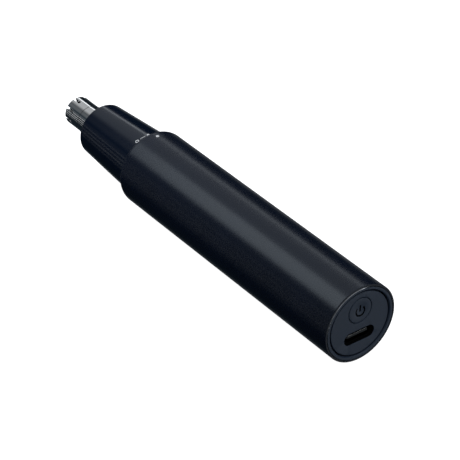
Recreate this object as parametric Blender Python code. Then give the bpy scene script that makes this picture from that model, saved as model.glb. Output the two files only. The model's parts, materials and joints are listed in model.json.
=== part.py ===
"""Cordless rotary nose hair trimmer: every piece of the real assembly as its own closed solid.

The trimmer lies on its side along X, with the cutting tip towards -X, the end face with the power
button and the charging socket towards +X, and +Z up. Pieces are modelled upright about their own
axis and laid down by one empty. In that upright frame a point is (up, side, station): station is
the distance from the end face towards the tip, up becomes world +Z and side becomes world +Y.
All sizes below are in millimetres and the mesh helpers scale them to Blender's metres.
"""

import math

import bmesh
import bpy
from mathutils import Matrix, Vector

MM = 0.001
LOOSE = 0.15          # gap around pieces that sit inside one another
SNUG = 0.1            # gap between faces that rest on each other
OUTER_SEGMENTS = 48
INNER_SEGMENTS = 24
SMALL_SEGMENTS = 12
CUTTER_SEGMENTS = 32

# ---- outside shape ----
LENGTH = 127.0
RING_RADIUS = 10.4
RING_END = 1.5
BARREL_RADIUS = 11.0
BARREL_BACK = 0.06
BARREL_MOUTH = 10.46   # rebate that the end ring's flange drops into
BARREL_BORE = 10.25
BARREL_FRONT = 89.7
HEAD_BASE_RADIUS = 9.31
HEAD_FRONT_RADIUS = 7.79
HEAD_BASE = 90.0
HEAD_FRONT = 113.9
BAND_BASE_RADIUS = 4.75
BAND_TIP_RADIUS = 4.4
BAND_FRONT = 120.2
CROWN_RADIUS = 4.3
CROWN_SLOTS = 8
CROWN_SLOT_WIDTH = 0.85
CROWN_SLOT_DEPTH = 3.0
CROWN_SLOT_ANGLE = -12.0

# ---- end face ----
CAP_RADIUS = 9.05
CAP_HOLE = 9.3
CAP_FACE = 0.25
CAP_BACK = 2.0
BUTTON_UP = 3.88
BUTTON_RADIUS = 3.5
BUTTON_HOLE = 3.65
BUTTON_TRAVEL = 0.4
STEM_END = 5.0
PLUNGER_END = 7.3
PORT_UP = -3.7
PORT_WIDTH = 9.4
PORT_HEIGHT = 3.46
SHELL_WIDTH = 8.94
SHELL_HEIGHT = 3.16
SHELL_WALL = 0.25
SHELL_MOUTH = 0.95
SHELL_END = 8.8

# ---- inside the handle ----
CHASSIS_RADIUS = 10.05
CHASSIS_BORE = 8.4
CHASSIS_START = 7.4
CHASSIS_FRONT = 87.6
BOARD_TOP = -1.0
BOARD_THICKNESS = 1.0
BOARD_HALF_WIDTH = 7.6
BOARD_START = 3.2
BOARD_END = 24.5
BOARD_SCREW_SIDE = 5.0
BOARD_SCREW_STATION = 21.0
CELL_RADIUS = 7.0
CELL_START = 27.0
CELL_END = 61.4
MOTOR_RADIUS = 7.8
MOTOR_BACK = 66.0
MOTOR_FRONT = 86.6
SHAFT_RADIUS = 0.75
SHAFT_HOLE = 0.87

# ---- neck and head joint ----
NECK_RADIUS = 7.3
NECK_BORE = 5.8
NECK_FRONT = 97.0
KEYS = 3
KEY_WIDTH = 1.2
KEY_RADIUS = 6.15
SCREW_CIRCLE = 4.4
UNLOCK_ANGLE = 22.5
SPRING_LEAVES = 3
COUPLING_RADIUS = 4.0
SPINDLE_RADIUS = 1.0

AXIS_HEIGHT = BARREL_RADIUS * math.cos(math.pi / OUTER_SEGMENTS)


# ---- scene, materials and mesh helpers ----

def clear_scene():
    for item in list(bpy.data.objects):
        bpy.data.objects.remove(item, do_unlink=True)


def material(name, colour, roughness, metallic=0.0):
    finish = bpy.data.materials.new(name)
    finish.use_nodes = True
    shader = finish.node_tree.nodes["Principled BSDF"]
    shader.inputs["Base Color"].default_value = (*colour, 1.0)
    shader.inputs["Roughness"].default_value = roughness
    shader.inputs["Metallic"].default_value = metallic
    return finish


def make_materials():
    return {
        "anodised": material("anodised_blue_black", (0.035, 0.045, 0.062), 0.42, 0.85),
        "satin": material("satin_black_plastic", (0.018, 0.022, 0.030), 0.35),
        "end": material("end_grey_plastic", (0.060, 0.072, 0.092), 0.45),
        "steel": material("polished_steel", (0.62, 0.62, 0.63), 0.22, 1.0),
        "black": material("black_nylon", (0.020, 0.020, 0.022), 0.55),
        "rubber": material("black_rubber", (0.015, 0.015, 0.016), 0.80),
        "foam": material("grey_foam", (0.130, 0.130, 0.135), 0.95),
        "board": material("board_green", (0.015, 0.110, 0.050), 0.45),
        "chip": material("chip_black", (0.012, 0.012, 0.014), 0.40),
        "tantalum": material("capacitor_ochre", (0.550, 0.330, 0.050), 0.50),
        "wrap": material("cell_wrap_blue", (0.030, 0.130, 0.420), 0.35),
        "nickel": material("nickel", (0.560, 0.550, 0.520), 0.30, 1.0),
        "brass": material("brass", (0.720, 0.520, 0.220), 0.30, 1.0),
        "copper": material("copper", (0.720, 0.330, 0.180), 0.30, 1.0),
        "magnet": material("ferrite", (0.045, 0.042, 0.042), 0.70),
        "bronze": material("sintered_bronze", (0.480, 0.300, 0.130), 0.50, 1.0),
        "red": material("wire_red", (0.520, 0.020, 0.015), 0.50),
        "blue": material("wire_blue", (0.020, 0.060, 0.420), 0.50),
        "white": material("white_acetal", (0.700, 0.700, 0.680), 0.50),
    }


def make_frame(name, parent=None, up=0.0):
    """An empty; the root one lays the upright pieces down, others sit up from its axis."""
    empty = bpy.data.objects.new(name, None)
    bpy.context.scene.collection.objects.link(empty)
    if parent is None:
        empty.location = (LENGTH / 2 * MM, 0.0, AXIS_HEIGHT * MM)
        empty.rotation_euler = (0.0, -math.pi / 2, 0.0)
    else:
        empty.parent = parent
        empty.location = (up * MM, 0.0, 0.0)
    return empty


def finish_object(name, bm, finish, frame):
    bmesh.ops.remove_doubles(bm, verts=bm.verts, dist=1e-6)
    bmesh.ops.recalc_face_normals(bm, faces=bm.faces)
    mesh = bpy.data.meshes.new(name)
    bm.to_mesh(mesh)
    bm.free()
    mesh.shade_smooth()
    mesh.set_sharp_from_angle(angle=math.radians(30))
    item = bpy.data.objects.new(name, mesh)
    if finish:
        mesh.materials.append(finish)
    bpy.context.scene.collection.objects.link(item)
    item.parent = frame
    return item


def as_cutter(item):
    item.hide_render = True
    item.display_type = "WIRE"
    return item


def combine(target, tool, operation):
    """Boolean the tool into the target with the exact solver and keep the tool as a guide."""
    modifier = target.modifiers.new(tool.name, "BOOLEAN")
    modifier.operation = operation
    modifier.solver = "EXACT"
    modifier.object = as_cutter(tool)


def cut(target, *tools):
    for tool in tools:
        combine(target, tool, "DIFFERENCE")


def join(target, *tools):
    for tool in tools:
        combine(target, tool, "UNION")


def point(up, side, station):
    return Vector((up, side, station)) * MM


def turned(name, profile, finish, frame, segments=INNER_SEGMENTS, start=0.0, sweep=360.0):
    """Spin a (radius, station) outline about the axis. An outline from axis to axis is a solid
    shape; any other is closed, and makes a ring or, with a sweep under 360, an arc."""
    bm = bmesh.new()
    whole = sweep >= 360.0
    offset = math.pi / segments if whole else math.radians(start)
    turn = Matrix.Rotation(offset, 3, "Z")
    verts = [bm.verts.new(turn @ point(radius, 0.0, station)) for radius, station in profile]
    solid = profile[0][0] == 0.0 and profile[-1][0] == 0.0
    pairs = list(zip(verts, verts[1:]))
    if not solid:
        pairs.append((verts[-1], verts[0]))
    edges = [bm.edges.new(pair) for pair in pairs]
    geometry = verts + edges
    if not whole:
        geometry.append(bm.faces.new(verts))
    bmesh.ops.spin(
        bm,
        geom=geometry,
        cent=(0.0, 0.0, 0.0),
        axis=(0.0, 0.0, 1.0),
        angle=math.radians(sweep),
        steps=segments,
        use_merge=whole,
    )
    return finish_object(name, bm, finish, frame)


def cylinder(name, radius, low, high, finish, frame, segments=SMALL_SEGMENTS, up=0.0, side=0.0):
    profile = [(0.0, low), (radius, low), (radius, high), (0.0, high)]
    item = turned(name, profile, finish, frame, segments)
    item.location = (up * MM, side * MM, 0.0)
    return item


def tube(name, radius, bore, low, high, finish, frame, segments=INNER_SEGMENTS):
    profile = [(radius, low), (radius, high), (bore, high), (bore, low)]
    return turned(name, profile, finish, frame, segments)


def arc(name, bore, radius, low, high, middle, sweep, finish, frame, segments=8):
    profile = [(radius, low), (radius, high), (bore, high), (bore, low)]
    return turned(name, profile, finish, frame, segments, middle - sweep / 2, sweep)


def extruded(name, outline, low, high, finish, frame, along="station"):
    """Extrude a closed outline: (up, side) points along the station, or (up, station) points
    along the side."""
    bm = bmesh.new()
    if along == "station":
        verts = [bm.verts.new(point(a, b, low)) for a, b in outline]
        shift = point(0.0, 0.0, high - low)
    else:
        verts = [bm.verts.new(point(a, low, b)) for a, b in outline]
        shift = point(0.0, high - low, 0.0)
    face = bm.faces.new(verts)
    grown = bmesh.ops.extrude_face_region(bm, geom=[face])["geom"]
    moved = [element for element in grown if isinstance(element, bmesh.types.BMVert)]
    bmesh.ops.translate(bm, verts=moved, vec=shift)
    return finish_object(name, bm, finish, frame)


def block(name, up, side, station, finish, frame):
    """A box from (low, high) pairs along up, side and station."""
    outline = [(up[0], side[0]), (up[1], side[0]), (up[1], side[1]), (up[0], side[1])]
    return extruded(name, outline, station[0], station[1], finish, frame)


def stadium(width, height, up=0.0, steps=8):
    """A slot outline with round ends, its long way along the side."""
    radius = height / 2
    reach = width / 2 - radius
    outline = []
    for sign in (1, -1):
        for step in range(steps + 1):
            angle = sign * (math.pi / 2) - math.pi * step / steps
            outline.append((up + radius * math.sin(angle), sign * reach + radius * math.cos(angle)))
    return outline


def segment(radius, edge, half_angle_steps=10):
    """The part of a disc beyond the straight edge at up = edge."""
    half = math.acos(abs(edge) / radius)
    middle = 0.0 if edge > 0 else math.pi
    count = half_angle_steps
    angles = [middle - half + 2 * half * step / count for step in range(count + 1)]
    return [(radius * math.cos(angle), radius * math.sin(angle)) for angle in angles]


def smooth_route(points, steps=4):
    """Points along a Catmull-Rom curve through the route's own points."""
    ends = [points[0]] + points + [points[-1]]
    route = []
    for before, start, end, after in zip(ends, ends[1:], ends[2:], ends[3:]):
        p0, p1, p2, p3 = (Vector(item) for item in (before, start, end, after))
        for step in range(steps):
            t = step / steps
            route.append(
                0.5 * (2 * p1 + (p2 - p0) * t + (2 * p0 - 5 * p1 + 4 * p2 - p3) * t * t
                       + (3 * p1 - p0 - 3 * p2 + p3) * t * t * t)
            )
    route.append(Vector(points[-1]))
    return route


def wire(name, route, radius, finish, frame, resolution=2):
    """A round tube with filled ends along (up, side, station) points."""
    curve = bpy.data.curves.new(name, "CURVE")
    curve.dimensions = "3D"
    curve.bevel_depth = radius * MM
    curve.bevel_resolution = resolution
    curve.use_fill_caps = True
    spline = curve.splines.new("POLY")
    spline.points.add(len(route) - 1)
    for target, place in zip(spline.points, route):
        target.co = (*(Vector(place) * MM), 1.0)
    spline.use_smooth = True
    curve.materials.append(finish)
    item = bpy.data.objects.new(name, curve)
    bpy.context.scene.collection.objects.link(item)
    item.parent = frame
    return item


def polar(radius, angle, station):
    turn = math.radians(angle)
    return (radius * math.cos(turn), radius * math.sin(turn), station)


def rounded_corner(radius, station, size, radial_sign, station_sign, steps=2):
    """Quarter-round outline points that replace a corner. The signs point from the corner's
    centre of rounding towards the corner."""
    centre_radius = radius - radial_sign * size
    centre_station = station - station_sign * size
    points = []
    for step in range(steps + 1):
        angle = math.pi / 2 * step / steps
        points.append((
            centre_radius + radial_sign * size * math.sin(angle),
            centre_station + station_sign * size * math.cos(angle),
        ))
    return points


# ---- handle: outside pieces ----

def build_barrel(look, frame):
    lip_hole = NECK_RADIUS + 2 * LOOSE
    profile = [(BARREL_BORE, RING_END + LOOSE), (BARREL_MOUTH, RING_END + LOOSE)]
    profile += [(BARREL_MOUTH, BARREL_BACK)]
    profile += rounded_corner(BARREL_RADIUS, BARREL_BACK, 0.15, 1, -1)
    profile += reversed(rounded_corner(BARREL_RADIUS, BARREL_FRONT, 1.4, 1, 1))
    profile += [(lip_hole, BARREL_FRONT), (lip_hole, BARREL_FRONT - 0.7)]
    profile += [(BARREL_BORE, BARREL_FRONT - 0.7)]
    return turned("barrel", profile, look["anodised"], frame, OUTER_SEGMENTS)


def build_end_ring(look, frame):
    chamfer = 0.35
    profile = [(CAP_HOLE, chamfer), (CAP_HOLE + chamfer, 0.0)]
    profile += [(RING_RADIUS - 0.14, 0.0), (RING_RADIUS, 0.14)]
    profile += [(RING_RADIUS, RING_END), (CHASSIS_RADIUS, RING_END)]
    profile += [(CHASSIS_RADIUS, 7.0), (CAP_HOLE, 7.0)]
    return turned("end_ring", profile, look["end"], frame, OUTER_SEGMENTS)


def build_end_cap(look, frame):
    skirt_bore = 8.3
    profile = [(0.0, CAP_FACE), (CAP_RADIUS - 0.15, CAP_FACE), (CAP_RADIUS, CAP_FACE + 0.15)]
    profile += [(CAP_RADIUS, 7.0), (skirt_bore, 7.0), (skirt_bore, CAP_BACK), (0.0, CAP_BACK)]
    cap = turned("end_cap", profile, look["end"], frame, OUTER_SEGMENTS)
    past = 1.0
    slot = extruded("port_slot", stadium(PORT_WIDTH, PORT_HEIGHT, PORT_UP),
                    CAP_FACE - past, CAP_BACK + past, None, frame)
    hole = cylinder("button_hole", BUTTON_HOLE, CAP_FACE - past, CAP_BACK + past, None, frame,
                    INNER_SEGMENTS, up=BUTTON_UP)
    cut(cap, slot, hole)


def build_port(look, frame):
    inner_width = SHELL_WIDTH - 2 * SHELL_WALL
    inner_height = SHELL_HEIGHT - 2 * SHELL_WALL
    shell = extruded("usb_shell", stadium(SHELL_WIDTH, SHELL_HEIGHT, PORT_UP),
                     SHELL_MOUTH, SHELL_END, look["nickel"], frame)
    hollow = extruded("shell_hollow", stadium(inner_width, inner_height, PORT_UP),
                      SHELL_MOUTH - 1.0, SHELL_END + 1.0, None, frame)
    cut(shell, hollow)
    tongue_half = 0.35
    tongue = block("usb_tongue", (PORT_UP - tongue_half, PORT_UP + tongue_half), (-3.35, 3.35),
                   (1.1, 8.2), look["chip"], frame)
    back = extruded("tongue_back", stadium(inner_width - 0.2, inner_height - 0.2, PORT_UP),
                    7.6, SHELL_END, None, frame)
    join(tongue, back)
    gasket = extruded("usb_gasket", stadium(SHELL_WIDTH + 1.6, SHELL_HEIGHT + 1.3, PORT_UP),
                      CAP_BACK + SNUG, BOARD_START - SNUG, look["rubber"], frame)
    gasket_hole = extruded("gasket_hole", stadium(SHELL_WIDTH + 0.2, SHELL_HEIGHT + 0.2, PORT_UP),
                           CAP_BACK - 1.0, BOARD_START + 1.0, None, frame)
    cut(gasket, gasket_hole)


# ---- handle: electronics ----

def build_board(look, frame):
    bottom = BOARD_TOP - BOARD_THICKNESS
    board = block("circuit_board", (bottom, BOARD_TOP), (-BOARD_HALF_WIDTH, BOARD_HALF_WIDTH),
                  (BOARD_START, BOARD_END), look["board"], frame)
    for index, sign in enumerate((1, -1), start=1):
        side = sign * BOARD_SCREW_SIDE
        cut(board, upright_pin(f"board_hole_{index}", 0.8, side, bottom - 1.0, BOARD_TOP + 1.0,
                               None, frame))
        head = upright_pin(f"board_screw_{index}", 1.3, side, BOARD_TOP + SNUG, BOARD_TOP + 0.9,
                           look["nickel"], frame)
        shank = upright_pin(f"screw_shank_{index}", 0.6, side, -5.6, BOARD_TOP + 0.5, None, frame)
        join(head, shank)
    rest = BOARD_TOP + SNUG
    block("charge_chip", (rest, rest + 0.9), (-2.0, 2.0), (12.0, 16.0), look["chip"], frame)
    block("motor_driver_chip", (rest, rest + 0.9), (-1.5, 1.5), (18.2, 21.2), look["chip"], frame)
    block("board_capacitor", (rest, rest + 1.9), (3.4, 6.2), (11.0, 14.6), look["tantalum"], frame)
    block("board_inductor", (rest, rest + 1.8), (-6.4, -3.2), (11.0, 14.2), look["magnet"], frame)


def upright_pin(name, radius, side, low, high, finish, frame):
    """A pin across the trimmer's axis, along the up direction, at the board screws' station."""
    pin = cylinder(name, radius, low, high, finish, frame)
    pin.rotation_euler = (0.0, math.pi / 2, 0.0)
    pin.location = (0.0, side * MM, BOARD_SCREW_STATION * MM)
    return pin


def build_switch(look, frame):
    half = 3.0
    outline = [
        (BOARD_TOP + SNUG, -half), (BOARD_TOP + SNUG, -half + 0.8), (BUTTON_UP - half, -half + 0.8),
        (BUTTON_UP - half, half - 0.8), (BOARD_TOP + SNUG, half - 0.8), (BOARD_TOP + SNUG, half),
        (BUTTON_UP + half, half), (BUTTON_UP + half, -half),
    ]
    body = extruded("switch_body", outline, 6.4, 9.8, look["chip"], frame)
    bore = cylinder("plunger_bore", 1.25, 5.0, PLUNGER_END + BUTTON_TRAVEL + LOOSE, None, frame,
                    up=BUTTON_UP)
    cut(body, bore)


# ---- handle: power cell, chassis and leads ----

def build_cell(look, frame):
    groove = CELL_END - 3.0
    profile = [(0.0, CELL_START), (CELL_RADIUS, CELL_START), (CELL_RADIUS, groove)]
    profile += [(CELL_RADIUS - 0.35, groove + 0.4), (CELL_RADIUS, groove + 0.8)]
    profile += [(CELL_RADIUS, CELL_END - 0.3), (CELL_RADIUS - 0.3, CELL_END), (0.0, CELL_END)]
    turned("battery_cell", profile, look["wrap"], frame)
    nose = [(0.0, CELL_END + SNUG), (3.0, CELL_END + SNUG), (2.8, CELL_END + 1.1)]
    nose += [(0.0, CELL_END + 1.1)]
    turned("battery_cap", nose, look["nickel"], frame)
    back = CELL_START - SNUG
    strip = 0.2
    rest = BOARD_TOP + LOOSE
    outline = [(-3.0, back), (-3.0, back - strip), (rest, back - strip), (rest, BOARD_END - 1.5),
               (rest + strip, BOARD_END - 1.5), (rest + strip, back - strip), (2.5, back - strip),
               (2.5, back)]
    extruded("battery_tab_negative", outline, -2.0, 2.0, look["nickel"], frame, along="side")
    front = CELL_END + 1.1 + SNUG
    block("battery_tab_positive", (-2.6, 2.6), (-2.2, 3.6), (front, front + strip),
          look["nickel"], frame)
    for name, middle in (("battery_pad_upper", 0.0), ("battery_pad_lower", 180.0)):
        arc(name, CELL_RADIUS + LOOSE, CHASSIS_BORE - 0.2, 30.0, 57.0, middle, 60.0,
            look["foam"], frame)


def build_chassis(look, frame):
    """Two half shells that carry the board, the cell and the motor, with ribs between them."""
    split = 1.0
    shells = {}
    for name, middle in (("chassis_cover", 0.0), ("chassis_tray", 180.0)):
        shells[name] = arc(name, CHASSIS_BORE, CHASSIS_RADIUS, CHASSIS_START, CHASSIS_FRONT,
                           middle, 180.0 - 2 * split, look["black"], frame, 14)
    rib_radius = (CHASSIS_BORE + CHASSIS_RADIUS) / 2
    under_board = BOARD_TOP - BOARD_THICKNESS - LOOSE
    ribs = (
        ("chassis_tray", "tray_rib_rear", under_board, 9.2, 10.4),
        ("chassis_tray", "tray_rib_screws", under_board, 19.6, 22.4),
        ("chassis_tray", "tray_rib_cell", -3.3, 25.2, 26.4),
        ("chassis_tray", "tray_rib_motor", -4.0, 63.2, 64.4),
        ("chassis_cover", "cover_rib_cell", 4.2, 25.2, 26.4),
        ("chassis_cover", "cover_rib_motor", 4.2, 63.2, 64.4),
    )
    for shell, name, edge, low, high in ribs:
        join(shells[shell], extruded(name, segment(rib_radius, edge), low, high, None, frame))
    for index, sign in enumerate((1, -1), start=1):
        cut(shells["chassis_tray"], upright_pin(f"tray_hole_{index}", 0.75,
                                                sign * BOARD_SCREW_SIDE, -5.9, 0.0, None, frame))


def build_leads(look, frame):
    """Two motor leads and the positive lead run beside the cell in the chassis's side gap."""
    radius = 0.45
    lane = 7.75
    over_board = BOARD_TOP + LOOSE + radius
    for name, finish, side in (("motor_lead_a", "red", 1), ("motor_lead_b", "blue", -1)):
        route = [
            (over_board, side * 6.9, 16.4), (over_board + 0.1, side * 7.0, 18.6),
            polar(lane, side * 66, 26.0), polar(lane, side * 64, 34.0),
            polar(lane, side * 64, 48.0), polar(lane, side * 64, 60.0),
            (2.2, side * 6.4, 63.4), (1.0, side * 5.6, 64.1),
        ]
        wire(name, smooth_route(route, 2), radius, look[finish], frame)
    route = [
        (over_board, -6.6, 23.0), (over_board, -6.8, 24.4), polar(lane, -93, 28.0),
        polar(lane, -93, 36.0), polar(lane, -93, 48.0), polar(lane, -93, 59.5),
        (-0.3, -6.6, 62.2), (-0.1, -5.2, 62.9), (0.0, -2.7, 62.85),
    ]
    wire("battery_lead", smooth_route(route, 2), radius, look["red"], frame)


# ---- handle: motor ----

def build_motor(look, frame):
    wall = 0.6
    boss = 3.0
    profile = [
        (MOTOR_RADIUS, MOTOR_BACK), (MOTOR_RADIUS, MOTOR_FRONT), (boss, MOTOR_FRONT),
        (boss, MOTOR_FRONT + 1.2), (1.1, MOTOR_FRONT + 1.2), (1.1, MOTOR_FRONT - 0.8),
        (MOTOR_RADIUS - wall, MOTOR_FRONT - 0.8), (MOTOR_RADIUS - wall, MOTOR_BACK),
    ]
    can = turned("motor_can", profile, look["nickel"], frame)
    for index, sign in enumerate((1, -1), start=1):
        hole = cylinder(f"can_hole_{index}", 1.0, MOTOR_FRONT - 2.0, MOTOR_FRONT + 1.0, None,
                        frame, side=sign * SCREW_CIRCLE)
        cut(can, hole)
    inside = MOTOR_RADIUS - wall - LOOSE
    profile = [
        (7.7, MOTOR_BACK - 1.1), (7.7, MOTOR_BACK - SNUG), (inside, MOTOR_BACK - SNUG),
        (inside, MOTOR_BACK + 1.5), (1.0, MOTOR_BACK + 1.5), (1.0, MOTOR_BACK - 1.1),
    ]
    turned("motor_end_bell", profile, look["white"], frame)
    for name, sign in (("a", 1), ("b", -1)):
        arc(f"motor_magnet_{name}", 6.0, inside, 68.5, 83.0, 90.0 - sign * 90.0, 130.0,
            look["magnet"], frame, 8)
        block(f"motor_brush_{name}", sorted((sign * 2.1, sign * 2.6)), (-0.7, 0.7),
              (MOTOR_BACK + 1.6, MOTOR_BACK + 3.6), look["copper"], frame)
        block(f"motor_terminal_{name}", (-0.9, 0.9), sorted((sign * 4.4, sign * 4.8)),
              (MOTOR_BACK - 2.4, MOTOR_BACK - 1.2), look["brass"], frame)
    tube("motor_damper", CHASSIS_BORE - SNUG - 0.05, MOTOR_RADIUS + SNUG, 68.0, 84.0,
         look["rubber"], frame)


def build_drive(look, frame):
    """What the motor turns: armature, commutator, shaft and the slotted half of the coupling."""
    shaft = [(0.0, 65.3), (SHAFT_RADIUS, 65.3), (SHAFT_RADIUS, 92.2), (0.0, 92.2)]
    turned("motor_shaft", shaft, look["steel"], frame, SMALL_SEGMENTS)
    tube("commutator", 1.95, SHAFT_HOLE, 67.8, 69.7, look["copper"], frame, SMALL_SEGMENTS)
    poles = 3
    outline = []
    for pole in range(poles):
        middle = 360.0 * pole / poles
        for radius, angle in ((2.4, -60), (2.2, -22), (4.4, -12), (4.6, -46), (5.6, -42),
                              (5.7, -28), (5.7, -14), (5.7, 0), (5.7, 14), (5.7, 28), (5.6, 42),
                              (4.6, 46), (4.4, 12), (2.2, 22)):
            up, side, _ = polar(radius, middle + angle, 0.0)
            outline.append((up, side))
    core = extruded("armature_core", outline, 70.4, 81.4, look["copper"], frame)
    bore = cylinder("core_bore", SHAFT_HOLE, 69.0, 83.0, None, frame)
    cut(core, bore)
    hub = [
        (2.0, 90.0), (2.0, 91.6), (COUPLING_RADIUS, 91.6), (COUPLING_RADIUS, 97.1),
        (1.5, 97.1), (1.5, 92.8), (SHAFT_HOLE, 92.8), (SHAFT_HOLE, 90.0),
    ]
    fork = turned("drive_coupling", hub, look["white"], frame)
    slot = block("fork_slot", (-0.8, 0.8), (-5.0, 5.0), (92.8, 98.0), None, frame)
    cut(fork, slot)


# ---- neck ----

def build_neck(look, frame):
    """The front frame: it holds the motor and its nose carries the head."""
    shoulder = BARREL_FRONT - 0.7 - SNUG
    wall_front = 88.9
    profile = [
        (3.15, MOTOR_FRONT + LOOSE), (CHASSIS_BORE - LOOSE, MOTOR_FRONT + LOOSE),
        (CHASSIS_BORE - LOOSE, CHASSIS_FRONT + LOOSE), (CHASSIS_RADIUS, CHASSIS_FRONT + LOOSE),
        (CHASSIS_RADIUS, shoulder), (NECK_RADIUS, shoulder),
        (NECK_RADIUS, 90.6), (6.7, 90.6), (6.7, 91.7), (NECK_RADIUS, 91.7),
        (NECK_RADIUS, 93.0), (6.7, 93.0), (6.7, 95.2), (NECK_RADIUS, 95.2),
        (NECK_RADIUS, NECK_FRONT - 0.4), (NECK_RADIUS - 0.4, NECK_FRONT), (NECK_BORE, NECK_FRONT),
        (NECK_BORE, wall_front), (3.15, wall_front),
    ]
    neck = turned("neck", profile, look["black"], frame)
    for index in range(KEYS):
        way = block(f"keyway_{index}", (4.5, KEY_RADIUS + LOOSE),
                    (-KEY_WIDTH / 2 - LOOSE, KEY_WIDTH / 2 + LOOSE), (94.2, 98.5), None, frame)
        way.rotation_euler = (0.0, 0.0, math.radians(360.0 / KEYS * index))
        cut(neck, way)
    for index, sign in enumerate((1, -1), start=1):
        side = sign * SCREW_CIRCLE
        hole = cylinder(f"neck_hole_{index}", 1.0, MOTOR_FRONT - 1.0, wall_front + 1.0, None,
                        frame, side=side)
        cut(neck, hole)
        screw = [
            (0.0, MOTOR_FRONT - 0.6), (0.85, MOTOR_FRONT - 0.6), (0.85, wall_front + SNUG),
            (1.2, wall_front + SNUG), (1.2, wall_front + 0.8), (0.0, wall_front + 0.8),
        ]
        item = turned(f"motor_screw_{index}", screw, look["nickel"], frame, SMALL_SEGMENTS)
        item.location = (0.0, side * MM, 0.0)
    tube("shaft_seal", 3.0, SHAFT_HOLE, MOTOR_FRONT + 1.35, wall_front - SNUG, look["rubber"],
         frame, SMALL_SEGMENTS)
    seal = [(6.82, 90.75), (7.25, 90.75), (7.32, 91.15), (7.25, 91.55), (6.82, 91.55)]
    turned("neck_seal", seal, look["rubber"], frame)
    spring = tube("head_lock_spring", 7.15, 6.82, 93.15, 95.05, look["nickel"], frame)
    for index in range(SPRING_LEAVES):
        leaf = arc(f"spring_leaf_{index}", 7.0, 7.75, 93.6, 94.6,
                   60.0 + 360.0 / SPRING_LEAVES * index, 9.0, None, frame, 2)
        join(spring, leaf)


# ---- cartridge: the keyed carrier inside the head ----

def build_cartridge(look, frame):
    rear = 5.6
    cavity = 4.6
    profile = [
        (rear, 94.6), (rear, 98.2), (6.25, 98.2), (6.25, 99.4), (3.4, 99.4), (3.4, 110.0),
        (2.15, 110.0), (2.15, 107.0), (1.35, 107.0), (1.35, 98.8), (cavity, 98.8), (cavity, 94.6),
    ]
    carrier = turned("spindle_carrier", profile, look["white"], frame)
    for index in range(KEYS):
        key = block(f"carrier_key_{index}", (5.1, KEY_RADIUS), (-KEY_WIDTH / 2, KEY_WIDTH / 2),
                    (94.6, 96.9), None, frame)
        key.rotation_euler = (0.0, 0.0, math.radians(360.0 / KEYS * index))
        join(carrier, key)
    tube("spindle_bush", 2.0, SPINDLE_RADIUS + 0.1, 107.15, 110.0, look["bronze"], frame,
         SMALL_SEGMENTS)


# ---- rotor: what spins inside the head ----

def build_rotor(look, frame):
    spindle = turned("drive_spindle", [
        (0.0, 97.6), (3.7, 97.6), (3.7, 98.4), (SPINDLE_RADIUS, 98.4), (SPINDLE_RADIUS, 121.0),
        (0.0, 121.0),
    ], look["steel"], frame, SMALL_SEGMENTS)
    tab = block("spindle_tab", (-0.45, 0.45), (-3.5, 3.5), (94.9, 98.0), None, frame)
    join(spindle, tab)
    tube("rotor_washer", 2.6, SPINDLE_RADIUS + 0.1, 110.2, 110.7, look["bronze"], frame,
         SMALL_SEGMENTS)
    turns = 5
    steps = 10
    count = turns * steps
    coil = []
    for step in range(count + 1):
        station = 111.3 + (118.2 - 111.3) * step / count
        coil.append(polar(1.75, 360.0 * step / steps, station))
    wire("rotor_spring", coil, 0.28, look["steel"], frame, resolution=0)
    hub = 1.7
    cutter = tube("inner_cutter", hub, SPINDLE_RADIUS + 0.1, 118.8, 126.1, look["steel"], frame,
                  SMALL_SEGMENTS)
    for index in range(2):
        vane = block(f"cutter_vane_{index}", (-3.4, 3.4), (-0.35, 0.35), (121.3, 126.1), None,
                     frame)
        vane.rotation_euler = (0.0, 0.0, math.radians(25.0 + 90.0 * index))
        join(cutter, vane)


# ---- head ----

def build_head(look, frame):
    edge = 0.6
    taper = (HEAD_BASE_RADIUS - HEAD_FRONT_RADIUS) / (HEAD_FRONT - HEAD_BASE)
    shoulder = HEAD_FRONT_RADIUS + taper * edge
    bore = 8.05
    profile = [(bore, HEAD_BASE), (HEAD_BASE_RADIUS - 0.25, HEAD_BASE)]
    profile += [(HEAD_BASE_RADIUS, HEAD_BASE + 0.25)]
    profile += reversed(rounded_corner(shoulder, HEAD_FRONT, edge, 1, 1))
    profile += [
        (BAND_BASE_RADIUS + LOOSE, HEAD_FRONT), (BAND_BASE_RADIUS + LOOSE, 112.4), (5.7, 112.4),
        (5.7, 99.55), (6.4, 99.55), (6.4, 97.5), (bore, 97.5),
    ]
    turned("head_sleeve", profile, look["satin"], frame, OUTER_SEGMENTS)
    insert = tube("lock_insert", bore - SNUG, NECK_RADIUS + LOOSE, 90.3, 97.2, look["black"],
                  frame)
    bump = 9.0
    margin = 3.0
    for index in range(SPRING_LEAVES):
        middle = 60.0 + 360.0 / SPRING_LEAVES * index - UNLOCK_ANGLE / 2
        pocket = arc(f"lock_pocket_{index}", 7.0, 8.5, 93.3, 94.9, middle,
                     UNLOCK_ANGLE + bump + 2 * margin, None, frame, 6)
        cut(insert, pocket)
    tube("carrier_clip", 6.25, 5.75, 97.65, 98.05, look["nickel"], frame)


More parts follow.
